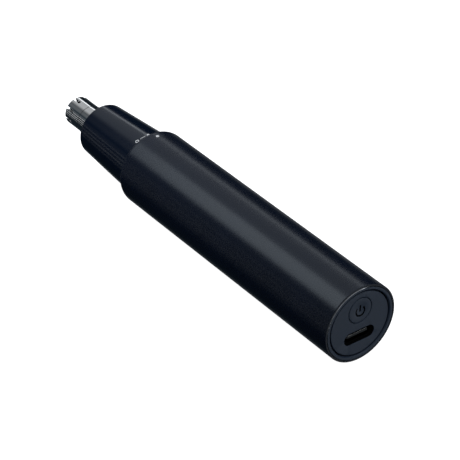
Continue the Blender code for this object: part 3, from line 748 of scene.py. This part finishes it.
class TRIMMER_OT_button(TrimmerOperator, bpy.types.Operator):
    """Dished power button with its engraved symbol, and the plunger behind it"""

    bl_idname = "trimmer.button"
    bl_label = "Power button"

    def make(self, sizes):
        middle = up_middle("power_button")
        rim, stem_end = back("power_button"), front("power_button")
        depth = sizes.dish_depth / MM
        land, outer, flange_radius, stem = 2.95, 3.5, 3.95, 1.2
        flange, flange_end = 2.16, 2.76
        rings = 14
        dish = []
        for step in range(rings + 1):
            distance = land * step / rings
            drop = depth * (1.0 + math.cos(math.pi * distance / land)) / 2
            dish.append(Vector((distance, rim + drop)))
        edge = rounded([
            (land, rim), (outer, rim, 0.14), (outer, flange, 0.04), (flange_radius, flange, 0.08),
            (flange_radius, flange_end, 0.08), (stem, flange_end, 0.1), (stem, stem_end, 0.1),
            (0.0, stem_end),
        ])
        cap = turned(dish + edge[1:], sizes.small_steps)
        shift(cap, up=middle)
        cutters = power_symbol(sizes.symbol_stroke / MM, middle, rim + depth)
        place("power_button_cap", cap, "power_button", "end_plastic", ["power_button"],
              accent="dark", carved=cutters)
        start, end, tip = extent("switch_plunger")
        plunger = turned(rounded([
            (0.0, start), (tip, start, 0.15), (tip, end, 0.1), (0.0, end),
        ]), 32)
        shift(plunger, up=middle)
        place("plunger", plunger, "switch_plunger", "wire_red", ["switch_plunger"])


def tongue_plug(level, start):
    """The moulded block that closes the shell behind the tongue."""
    plug = bmesh.new()
    slot_loop(plug, level, start, 8.2, 2.42)
    face = bmesh.ops.contextual_create(plug, geom=list(plug.edges))["faces"]
    lift(plug, bmesh.ops.extrude_face_region(plug, geom=face), 1.1)
    return plug


def contact_rows(level, half_height, start):
    """A row of twelve thin contacts on each side of the tongue."""
    in_row, pitch, half_width, thickness = 12, 0.5, 0.13, 0.035
    contacts = bmesh.new()
    for sign in (-1, 1):
        surface = level + sign * half_height
        low, high = sorted((surface, surface + sign * thickness))
        for index in range(in_row):
            side = (index - (in_row - 1) / 2) * pitch
            add_to(contacts, bar((low, side - half_width, start + 1.0),
                                 (high, side + half_width, start + 5.0), 0.012, 1))
    return contacts


def drawn_shell(level):
    """An outline drawn into a tube, thickened, with its mouth's edges rounded."""
    low, high = cad_box("usb_shell")
    mouth, end = back("usb_shell"), front("usb_shell")
    bm = bmesh.new()
    slot_loop(bm, level, mouth, high.y - low.y, high.z - low.z, 64)
    lift(bm, bmesh.ops.extrude_edge_only(bm, edges=list(bm.edges)), end - mouth)
    thicken(bm, 0.25)
    round_mouth(bm, mouth + 0.01, 0.08)
    return bm


class TRIMMER_OT_socket(TrimmerOperator, bpy.types.Operator):
    """Charging socket: drawn shell, tongue with its mid plate and gold contacts"""

    bl_idname = "trimmer.socket"
    bl_label = "Charging socket"

    def make(self, sizes):
        level = up_middle("usb_shell")
        # The shell gets near-black plating instead of its nickel: painted shade inside the socket.
        place("socket_shell", drawn_shell(level), "handle", "nickel", ["usb_shell"], "painted_shade_plating")
        start, end = back("usb_tongue") + 0.05, front("usb_tongue") - 1.0
        half_width, half_height = 3.32, 0.33
        tongue = bar((level - half_height, -half_width, start),
                     (level + half_height, half_width, end), 0.1, 3)
        add_to(tongue, tongue_plug(level, end - 0.2))
        place("socket_tongue", tongue, "handle", "chip", ["usb_tongue"])
        lip = bar((level + 0.09, -3.1, start + 0.02),
                  (level + half_height + 0.015, 3.1, start + 0.3), 0.1, 1)
        place("socket_tongue_lip", lip, "handle", "nickel", finish="blade")
        contacts = contact_rows(level, half_height, start)
        place("socket_contacts", contacts, "handle", "brass", finish="gold")


def lock_insert():
    """The lock insert, with a pocket for each spring leaf's way from locked to open."""
    start, end, outer = extent("lock_insert")
    ring = turned(rounded(section(7.44, outer, start, end, 0.15, 0.1, 0.1, 0.1), 3), 128)
    half_leaf, margin = 4.5, 3.0
    sweep = UNLOCK_TRAVEL + 2 * (half_leaf + margin)
    outline = rounded(section(7.0, 8.5, 93.3, 94.9, 0.0))
    pockets = [
        turned(outline, 12, sweep, FIRST_LEAF + third - UNLOCK_TRAVEL - half_leaf - margin)
        for third in THIRDS
    ]
    place("lock_insert_ring", ring, "head", "black_nylon", ["lock_insert"], carved=pockets)


class TRIMMER_OT_head(TrimmerOperator, bpy.types.Operator):
    """Tapered satin head sleeve with its lock insert and carrier clip"""

    bl_idname = "trimmer.head"
    bl_label = "Head"

    def make(self, sizes):
        base, end, widest = extent("head_sleeve")
        bore = radius("lock_insert") + 0.1
        tip_hole, nose_bore, flange_bore, floor = 4.9, 5.7, 6.4, 1.5
        sleeve = turned(rounded([
            (bore, base, 0.12), (widest, base, 0.28),
            (HEAD_TIP_RADIUS, end, sizes.head_rounding / MM), (tip_hole, end, 0.2),
            (tip_hole, end - floor), (nose_bore, end - floor), (nose_bore, HEAD_FLOOR),
            (flange_bore, HEAD_FLOOR), (flange_bore, INSERT_SEAT), (bore, INSERT_SEAT),
        ]), sizes.steps)
        place("head_shell", sleeve, "head", "satin", ["head_sleeve"])
        lock_insert()
        start, end, outer = extent("carrier_clip")
        clip = section(5.75, outer, start, end, 0.08)
        place("carrier_clip_ring", turned(rounded(clip, 3), 96, 330.0, 15.0), "head", "nickel",
              ["carrier_clip"])


def crown(sizes):
    """A spun skin whose slot columns are left out, thickened to its wall."""
    outer, tip = radius("outer_cutter"), front("outer_cutter")
    wall, nose, seam = 0.62, 0.28, front("cutter_band") + 0.27
    slot_end = tip - sizes.slot_depth / MM
    half_width = sizes.slot_width / MM / 2
    columns, slot_columns, slot_reach = 16, 4, 3.0
    nose_steps = 6
    sides = (seam, seam + 1.2, slot_end - 0.9, slot_end, slot_end + 0.9, tip - nose - 0.4)
    outline = [(outer, 0.0, station) for station in sides]
    for step in range(nose_steps + 1):
        turn = math.pi / 2 * step / nose_steps
        outline.append((outer - nose * (1 - math.cos(turn)), 0.0,
                        tip - nose * (1 - math.sin(turn))))
    outline += [(distance, 0.0, tip) for distance in (3.5, 3.0, 2.5, 1.9, 1.4, 0.9)]
    bm = bmesh.new()
    spin(bm, chain(bm, outline), 360.0, columns * sizes.slots)
    sector = 2 * math.pi / sizes.slots
    half_slot = sector * slot_columns / columns / 2
    gone = []
    for face in bm.faces:
        middle = face.calc_center_median()
        in_slot = abs(offset_from_slot(middle, sector)) < half_slot
        if in_slot and middle.z > slot_end and middle.xy.length > slot_reach:
            gone.append(face)
    for vert in bm.verts:
        straighten(vert, sector, half_slot, half_width)
    bmesh.ops.delete(bm, geom=gone, context="FACES")
    thicken(bm, wall)
    ends = []
    for edge in bm.edges:
        first, second = (vert.co for vert in edge.verts)
        radial = abs(first.xy.length - second.xy.length) > wall * 0.6
        flat = abs(first.z - slot_end) < 0.02 and abs(second.z - slot_end) < 0.02
        if radial and flat and edge.calc_face_angle(0.0) > 0.8:
            ends.append(edge)
    round_edges(bm, ends, sizes.slot_width / MM * 0.42, 4)
    lips = [
        edge for edge in bm.edges
        if edge.calc_face_angle(0.0) > 0.9 and edge.calc_length() < 2.0
        and min(vert.co.z for vert in edge.verts) > seam + wall
    ]
    round_edges(bm, lips, 0.035)
    turn_about_axis(bm, math.degrees(sizes.slot_turn))
    spigot = section(3.55, 3.88, 118.6, seam + 0.2, 0.1, 0.1, 0.0, 0.0)
    add_to(bm, turned(rounded(spigot, 3), 96))
    return bm


def offset_from_slot(spot, sector):
    """Angle from the middle of the nearest slot."""
    return (math.atan2(spot.y, spot.x) + sector / 2) % sector - sector / 2


def straighten(vert, sector, half_slot, half_width):
    """Spread the columns so that a slot keeps its width as it runs in over the top."""
    distance = vert.co.xy.length
    if distance < 1.6:
        return
    offset = offset_from_slot(vert.co, sector)
    wanted = math.asin(min(half_width / distance, 0.9))
    if abs(offset) <= half_slot + 1e-6:
        moved = offset * wanted / half_slot
    else:
        beyond = (abs(offset) - half_slot) / (sector / 2 - half_slot)
        moved = math.copysign(wanted + beyond * (sector / 2 - wanted), offset)
    turned_to = math.atan2(vert.co.y, vert.co.x) - offset + moved
    vert.co.x = distance * math.cos(turned_to)
    vert.co.y = distance * math.sin(turned_to)


class TRIMMER_OT_cutter(TrimmerOperator, bpy.types.Operator):
    """Steel band with its seal, slotted crown, and a black ring in the seam between them, painted shade
    for the seam's dark line
    """

    bl_idname = "trimmer.cutter"
    bl_label = "Cutter"

    def make(self, sizes):
        start, end, collar = extent("cutter_band")
        wide, narrow, bore, collar_end = 4.73, 4.38, 4.0, 112.25
        band = turned(rounded([
            (bore, start), (collar, start, 0.1), (collar, collar_end, 0.1), (wide, collar_end),
            (wide, front("head_sleeve")), (narrow, end, 0.03), (bore, end, 0.03),
        ]), sizes.steps)
        place("band", band, "head", "steel", ["cutter_band"])
        seal = rounded(section(2.5, 3.88, 112.0, 113.0, 0.2, 0.3, 0.3, 0.2), 4)
        place("band_seal", turned(seal, 64), "head", "rubber", ["cutter_seal"])
        # A black rubber ring fills the seam's gap: painted shade for the dark line between band and
        # crown.
        seam_shade_section = rounded(section(3.92, 4.2, end + 0.02, end + 0.25, 0.0))
        place("crown_seam_shade_ring", turned(seam_shade_section, 96), "head", "rubber")
        place("crown", crown(sizes), "head", "steel", ["outer_cutter"])


def round_mark(outer):
    bm = bmesh.new()
    bmesh.ops.create_circle(bm, segments=32, radius=outer, cap_ends=True, cap_tris=True)
    bmesh.ops.subdivide_edges(bm, edges=list(bm.edges), cuts=2, use_grid_fill=True)
    return bm


def ring_mark(outer, inner):
    bm = bmesh.new()
    for edge in (outer, inner):
        bmesh.ops.create_circle(bm, segments=40, radius=edge)
    bmesh.ops.bridge_loops(bm, edges=list(bm.edges))
    return bm


def line_mark(length, width):
    bm = bmesh.new()
    bmesh.ops.create_grid(bm, x_segments=1, y_segments=12, size=0.5)
    bmesh.ops.scale(bm, vec=(width, length, 1.0), verts=bm.verts)
    return bm


def mark(name, flat, degrees, surface):
    """Give a flat mark its ink thickness and wrap it round a surface, which is given by its
    body, station, radius there and slope."""
    thickness, sunk = 0.05, 0.02
    body, station, distance, slope = surface
    lift(flat, bmesh.ops.extrude_face_region(flat, geom=list(flat.faces)), thickness)
    for vert in flat.verts:
        along, around, height = vert.co
        out = distance + slope * along + height - sunk
        turn = math.radians(degrees) + around / distance
        vert.co = (out * math.cos(turn), out * math.sin(turn), station + along)
    place(name, flat, body, "acetal", finish="ink")


class TRIMMER_OT_marks(TrimmerOperator, bpy.types.Operator):
    """Printed lock marks: a dot on the barrel, and a ring, a line and a dot on the head"""

    bl_idname = "trimmer.marks"
    bl_label = "Lock marks"

    def make(self, sizes):
        dot = 0.48
        base, end, widest = extent("head_sleeve")
        slope = (HEAD_TIP_RADIUS - widest) / (end - base)
        onward = 1.12
        head = ("head", base + onward, widest + slope * onward, slope)
        barrel = ("handle", front("barrel") - 3.0, radius("barrel"), 0.0)
        mark("mark_barrel_dot", round_mark(dot), 1.0, barrel)
        mark("mark_locked_dot", round_mark(dot), 1.2, head)
        mark("mark_open_ring", ring_mark(0.56, 0.32), -22.4, head)
        mark("mark_line", line_mark(1.86, 0.17), -10.1, head)


def neck_seals():
    """The O-ring in its groove, and the lip seal round the motor's shaft."""
    middle, half_height, half_thick, steps = 7.06, 0.38, 0.235, 16
    station = sum(SEAL_GROOVE) / 2
    points = []
    for step in range(steps):
        turn = 2 * math.pi * step / steps
        points.append(Vector((middle + half_thick * math.cos(turn),
                              station + half_height * math.sin(turn))))
    place("neck_o_ring", turned(points, 128), "handle", "rubber", ["neck_seal"])
    lip, outer, start, end = 0.9, 2.95, back("shaft_seal"), front("shaft_seal")
    seal = rounded([
        (lip, start, 0.1), (outer, start, 0.1), (outer, end, 0.15), (1.6, end, 0.2),
        (lip, end - 0.25, 0.08),
    ], 3)
    place("shaft_lip_seal", turned(seal, 64), "handle", "rubber", ["shaft_seal"])


def lock_spring():
    """A sprung band in the neck's groove, with three leaves that click into the head."""
    band = turned(rounded(section(6.84, 7.1, 93.2, 95.0, 0.1), 3), 128, 345.0, 127.5)
    profile = rounded(section(6.95, 7.72, 93.65, 94.55, 0.1, 0.28, 0.28, 0.1), 5)
    width = 8.4
    for third in THIRDS:
        add_to(band, turned(profile, 12, width, FIRST_LEAF + third - width / 2))
    place("lock_spring", band, "handle", "nickel", ["head_lock_spring"])


def motor_screw(index, side):
    """One of the motor's two screws, with a cross in its head."""
    node = f"motor_screw_{index}"
    start, end, seat = back(node), front(node), 89.0
    shank, head = 0.82, 1.17
    shape = turned(rounded([
        (0.0, start), (shank, start, 0.1), (shank, seat, 0.05), (head, seat, 0.1),
        (head, end, 0.3), (0.0, end),
    ], 4), 48)
    cross = [
        bar((-up, -across, end - 0.4), (up, across, end + 1.0))
        for up, across in ((0.65, 0.14), (0.14, 0.65))
    ]
    for part in [shape] + cross:
        shift(part, side=side)
    place(f"neck_screw_{index}", shape, "handle", "nickel", [node], carved=cross)


def drive_fork():
    """The slotted half of the coupling on the end of the motor shaft."""
    start, end = back("drive_coupling"), front("drive_coupling")
    hub_end = start + 1.6
    shaft_hole, hub, outer, bore = 0.86, 1.95, 3.95, 1.5
    shape = turned(rounded([
        (shaft_hole, start), (hub, start, 0.15), (hub, hub_end, 0.2), (outer, hub_end, 0.2),
        (outer, end, 0.35), (bore, end, 0.25), (bore, FORK_FLOOR), (shaft_hole, FORK_FLOOR),
    ], 4), 96)
    slot = bar((-0.8, -6.0, FORK_FLOOR), (0.8, 6.0, 99.0))
    place("drive_fork", shape, "drive", "acetal", ["drive_coupling"], carved=[slot])


class TRIMMER_OT_neck(TrimmerOperator, bpy.types.Operator):
    """Neck that carries the head: frame, seals, lock spring, screws and the drive's fork"""

    bl_idname = "trimmer.neck"
    bl_label = "Neck"

    def make(self, sizes):
        start, end, flange = extent("neck")
        nose, bore, plug, boss_hole, step = NOSE_RADIUS, 5.8, 8.2, 3.15, start + 1.0
        corners = [
            (boss_hole, start), (plug, start, 0.2), (plug, step), (flange, step, 0.1),
            (flange, NECK_WALL, 0.1), (nose, NECK_WALL),
        ]
        for low, high in (SEAL_GROOVE, SPRING_GROOVE):
            corners += [(nose, low, 0.12), (GROOVE_RADIUS, low, 0.05),
                        (GROOVE_RADIUS, high, 0.05), (nose, high, 0.12)]
        corners += [
            (nose, end, 0.4), (bore, end, 0.25), (bore, NECK_WALL, 0.1),
            (boss_hole, NECK_WALL, 0.1),
        ]
        cutters = bars_round(THIRDS, (4.5, -0.75, 94.2), (6.3, 0.75, 98.5), 0.05, 1)
        for side in (-SCREW_SIDE, SCREW_SIDE):
            hole = turned(rounded(section(0.0, 1.0, 86.0, 90.0, 0.0)), 32)
            shift(hole, side=side)
            cutters.append(hole)
        place("neck_frame", turned(rounded(corners, 4), 128), "handle", "black_nylon", ["neck"],
              carved=cutters)
        neck_seals()
        lock_spring()
        for index, side in enumerate((SCREW_SIDE, -SCREW_SIDE), start=1):
            motor_screw(index, side)
        drive_fork()


class TRIMMER_OT_cartridge(TrimmerOperator, bpy.types.Operator):
    """Keyed spindle carrier and its bush"""

    bl_idname = "trimmer.cartridge"
    bl_label = "Cartridge"

    def make(self, sizes):
        start, end = back("spindle_carrier"), front("spindle_carrier")
        skirt, flange, tube, bush_seat, spindle_way = 5.55, 6.2, 3.35, 2.15, 1.35
        low, high = CARRIER_FLANGE
        floor, bush_start = 98.8, 107.0
        shape = turned(rounded([
            (CARRIER_BORE, start, 0.15), (skirt, start, 0.2), (skirt, low, 0.1),
            (flange, low, 0.1), (flange, high, 0.1), (tube, high, 0.3), (tube, end, 0.2),
            (bush_seat, end, 0.1), (bush_seat, bush_start), (spindle_way, bush_start),
            (spindle_way, floor), (CARRIER_BORE, floor, 0.3),
        ], 4), 96)
        for key in bars_round(THIRDS, (5.2, -0.58, start + 0.03), (6.12, 0.58, 96.85), 0.12, 3):
            add_to(shape, key)
        place("carrier", shape, "cartridge", "acetal", ["spindle_carrier"])
        bush = section(SPINDLE_HOLE, 1.93, bush_start + 0.2, end - 0.02, 0.15, 0.1, 0.1, 0.15)
        place("carrier_bush", turned(rounded(bush, 3), 48), "cartridge", "bronze", ["spindle_bush"])


def coil_spring():
    """A round wire swept up a helix."""
    start, end, turns, per_turn = 111.3, 118.2, 5, 28
    wire, coil = 0.26, 1.72
    bm = bmesh.new()
    stand = Matrix.Translation((coil, 0.0, start)) @ Matrix.Rotation(math.pi / 2, 4, "X")
    bmesh.ops.create_circle(bm, segments=10, radius=wire, cap_ends=True, matrix=stand)
    steps = turns * per_turn
    spin(bm, bm.verts[:] + bm.edges[:] + bm.faces[:], 360.0 * turns, steps, merge=False,
         rise=(end - start) / steps)
    bmesh.ops.remove_doubles(bm, verts=bm.verts, dist=1e-5)
    return bm


def four_blades():
    """A hub with four blades, each bevelled to a cutting edge."""
    start, end = back("inner_cutter"), front("inner_cutter")
    half_thick, count, first = 0.33, 4, 25.0
    hub = section(SPINDLE_HOLE, 1.65, start, end, 0.1, 0.15, 0.15, 0.1)
    shape = turned(rounded(hub, 3), 48)
    for index in range(count):
        blade = bar((1.3, -half_thick, 121.3), (3.36, half_thick, end - 0.02))
        leading = [
            edge for edge in blade.edges
            if all(vert.co.x > 3.0 and vert.co.y > 0.2 for vert in edge.verts)
            or all(vert.co.z > end - 0.1 and vert.co.y > 0.2 for vert in edge.verts)
        ]
        round_edges(blade, leading, 0.34, 1)
        turn_about_axis(blade, first + 360.0 / count * index)
        add_to(shape, blade)
    return shape


class TRIMMER_OT_rotor(TrimmerOperator, bpy.types.Operator):
    """What spins in the head: tabbed spindle, washer, spring and the four-bladed cutter"""

    bl_idname = "trimmer.rotor"
    bl_label = "Rotor"

    def make(self, sizes):
        rod, disc, end = 1.0, 3.6, front("drive_spindle")
        low, high = SPINDLE_DISC
        spindle = turned(rounded([
            (0.0, low), (disc, low, 0.2), (disc, high, 0.2), (rod, high, 0.2), (rod, end, 0.25),
            (0.0, end),
        ], 4), 64)
        tab = bar((-0.44, -3.4, back("drive_spindle") + 0.02), (0.44, 3.4, low + 0.2), 0.12, 3)
        add_to(spindle, tab)
        place("tabbed_spindle", spindle, "rotor", "steel", ["drive_spindle"])
        washer = section(SPINDLE_HOLE, 2.55, 110.2, 110.7, 0.06, 0.1, 0.1, 0.06)
        place("thrust_washer", turned(rounded(washer, 3), 48), "rotor", "bronze", ["rotor_washer"])
        place("thrust_spring", coil_spring(), "rotor", "steel", ["rotor_spring"])
        place("blades", four_blades(), "rotor", "steel", ["inner_cutter"], "blade")


def add_to_scene(scene, name, data):
    added = bpy.data.objects.new(name, data)
    scene.collection.objects.link(added)
    return added


def pale_sweep(studio):
    """A pale floor that curves up into a wall all round, seen only by the camera."""
    outline = [(0.0, 0.0), (1.6, 0.0), (2.2, 0.25), (2.5, 0.8), (2.6, 3.5)]
    bm = bmesh.new()
    spin(bm, chain(bm, [(across, 0.0, height) for across, height in outline]), 360.0, 64)
    bmesh.ops.remove_doubles(bm, verts=bm.verts, dist=1e-6)
    bmesh.ops.recalc_face_normals(bm, faces=bm.faces)
    bmesh.ops.reverse_faces(bm, faces=bm.faces)
    mesh = bpy.data.meshes.new("studio_sweep")
    bm.to_mesh(mesh)
    bm.free()
    mesh.shade_smooth()
    finish = Finish("pale_sweep", (0.80, 0.80, 0.80), 0.9)
    finish.shader["Specular IOR Level"].default_value = 0.0
    finish.shader["Emission Color"].default_value = (1.0, 1.0, 1.0, 1.0)
    finish.shader["Emission Strength"].default_value = studio.floor
    mesh.materials.append(finish.material)
    sweep = add_to_scene(bpy.context.scene, "studio_sweep", mesh)
    sweep.visible_diffuse = False
    sweep.visible_glossy = False
    sweep.visible_shadow = False


def soft_boxes(scene, studio):
    """Soft boxes as long bands of light round the trimmer's axis. Each row gives a band's
    middle, half width and softness in degrees from straight up towards the far side, how
    bright it is, and how many times brighter it gets beyond the end face."""
    bands = (
        (16.0, 30.0, 14.0, 0.49, 1.0),
        (-37.0, 15.0, 11.0, 0.12, 4.5),
        (47.0, 3.5, 3.0, 1.65, 1.0),
        (-68.0, 7.0, 5.0, 0.10, 3.0),
        (-79.0, 1.2, 1.0, 0.80, 1.0),
        (-93.0, 1.2, 1.0, 0.80, 1.0),
        (-107.0, 1.2, 1.0, 0.80, 1.0),
        (-121.0, 1.0, 1.0, 0.35, 1.0),
        (122.0, 18.0, 12.0, 0.22, 3.2),
        (158.0, 10.0, 8.0, 0.12, 1.0),
    )
    dim_blue, near_white = (0.40, 0.72, 1.0, 1.0), (*LAMP_COLOUR, 1.0)
    world = bpy.data.worlds.new("soft_boxes")
    world.use_nodes = True
    scene.world = world
    tree = world.node_tree
    seen = add_node(tree, "ShaderNodeTexCoord").outputs["Generated"]
    split = add_node(tree, "ShaderNodeSeparateXYZ", Vector=seen).outputs
    turn = calculate(tree, "ARCTAN2", split["Y"], split["Z"])
    beyond = fade(tree, split["X"], 0.3, 0.7, 0.0, 1.0)
    total = calculate(tree, "ADD", 0.020)
    for middle, half_width, softness, brightness, gain in bands:
        offset = calculate(tree, "SUBTRACT", turn, math.radians(middle))
        start, end = math.radians(half_width - softness), math.radians(half_width + softness)
        edge = fade(tree, calculate(tree, "ABSOLUTE", offset), start, end, brightness, 0.0)
        stronger = calculate(tree, "MULTIPLY", beyond, gain - 1.0)
        stronger = calculate(tree, "ADD", stronger, 1.0)
        total = calculate(tree, "ADD", total, calculate(tree, "MULTIPLY", edge, stronger))
    background = tree.nodes["Background"].inputs
    feed(tree, background["Strength"], calculate(tree, "MULTIPLY", total, studio.surround))
    share = calculate(tree, "MINIMUM", calculate(tree, "MULTIPLY", total, 6.0), 1.0)
    feed(tree, background["Color"], blend(tree, share, dim_blue, near_white))


def fade(tree, value, start, end, low, high):
    """A soft step from low to high."""
    made = add_node(tree, "ShaderNodeMapRange", Value=value, From_Min=start, From_Max=end,
                    To_Min=low, To_Max=high)
    made.interpolation_type = "SMOOTHSTEP"
    return made.outputs["Result"]


def key_light(scene, studio):
    """A soft strip close over the barrel, on the camera's side, its long way along it."""
    light = bpy.data.lights.new("key_light", "AREA")
    light.shape = "RECTANGLE"
    light.size = 0.185
    light.size_y = 0.086
    light.energy = studio.key
    light.color = LAMP_COLOUR
    holder = add_to_scene(scene, "key_light", light)
    stands_at = Vector((-0.0575, -0.0605, 0.119))
    away = (stands_at - Vector((-0.0575, 0.0, 0.011))).normalized()
    side = Vector((1.0, 0.0, 0.0))
    turn = Matrix((side, away.cross(side), away)).transposed()
    holder.matrix_world = Matrix.Translation(stands_at) @ turn.to_4x4()
    holder.visible_camera = False


def set_camera(scene, studio):
    lens = bpy.data.cameras.new("camera")
    lens.lens = studio.lens
    lens.sensor_width = 36.0
    holder = add_to_scene(scene, "camera", lens)
    looks_at = Vector((0.0062, 0.0028, 0.0063))
    level = math.cos(studio.elevation)
    towards = Vector((
        math.sin(studio.azimuth) * level, -math.cos(studio.azimuth) * level,
        math.sin(studio.elevation),
    ))
    holder.location = looks_at + towards * studio.distance
    holder.rotation_euler = towards.to_track_quat("Z", "Y").to_euler()
    scene.camera = holder


class TRIMMER_OT_stage(bpy.types.Operator):
    """Pale sweep, soft boxes round the trimmer, the key light and the camera"""

    bl_idname = "trimmer.stage"
    bl_label = "Studio"

    def execute(self, context):
        scene, studio = context.scene, context.scene.trimmer_studio
        pale_sweep(studio)
        soft_boxes(scene, studio)
        key_light(scene, studio)
        set_camera(scene, studio)
        scene.view_settings.view_transform = "Standard"
        return {"FINISHED"}


class TRIMMER_PT_panel(bpy.types.Panel):
    """The trimmer's sizes, finishes and operators"""

    bl_label = "Nose hair trimmer"
    bl_idname = "TRIMMER_PT_panel"
    bl_space_type = "VIEW_3D"
    bl_region_type = "UI"
    bl_category = "Trimmer"

    def draw(self, context):
        groups = (context.scene.trimmer_sizes, context.scene.trimmer_finishes,
                  context.scene.trimmer_studio)
        for group in groups:
            box = self.layout.box()
            for name in group.__annotations__:
                box.prop(group, name)
        for operator in PIECE_OPERATORS:
            self.layout.operator(operator.bl_idname)


PIECE_OPERATORS = (
    TRIMMER_OT_finishes, TRIMMER_OT_barrel, TRIMMER_OT_end_face, TRIMMER_OT_button,
    TRIMMER_OT_socket, TRIMMER_OT_head, TRIMMER_OT_cutter, TRIMMER_OT_marks, TRIMMER_OT_neck,
    TRIMMER_OT_cartridge, TRIMMER_OT_rotor, TRIMMER_OT_stage,
)
GROUPS = {
    "trimmer_sizes": TrimmerSizes,
    "trimmer_finishes": TrimmerFinishes,
    "trimmer_studio": TrimmerStudio,
}


def register():
    for name, group in GROUPS.items():
        bpy.utils.register_class(group)
        setattr(bpy.types.Scene, name, bpy.props.PointerProperty(type=group))
    for item in (*PIECE_OPERATORS, TRIMMER_PT_panel):
        bpy.utils.register_class(item)


def unregister():
    for item in reversed((*PIECE_OPERATORS, TRIMMER_PT_panel)):
        bpy.utils.unregister_class(item)
    for name, group in GROUPS.items():
        delattr(bpy.types.Scene, name)
        bpy.utils.unregister_class(group)


def main():
    register()
    for operator in PIECE_OPERATORS:
        group, name = operator.bl_idname.split(".")
        getattr(getattr(bpy.ops, group), name)()


if __name__ == "__main__":
    main()
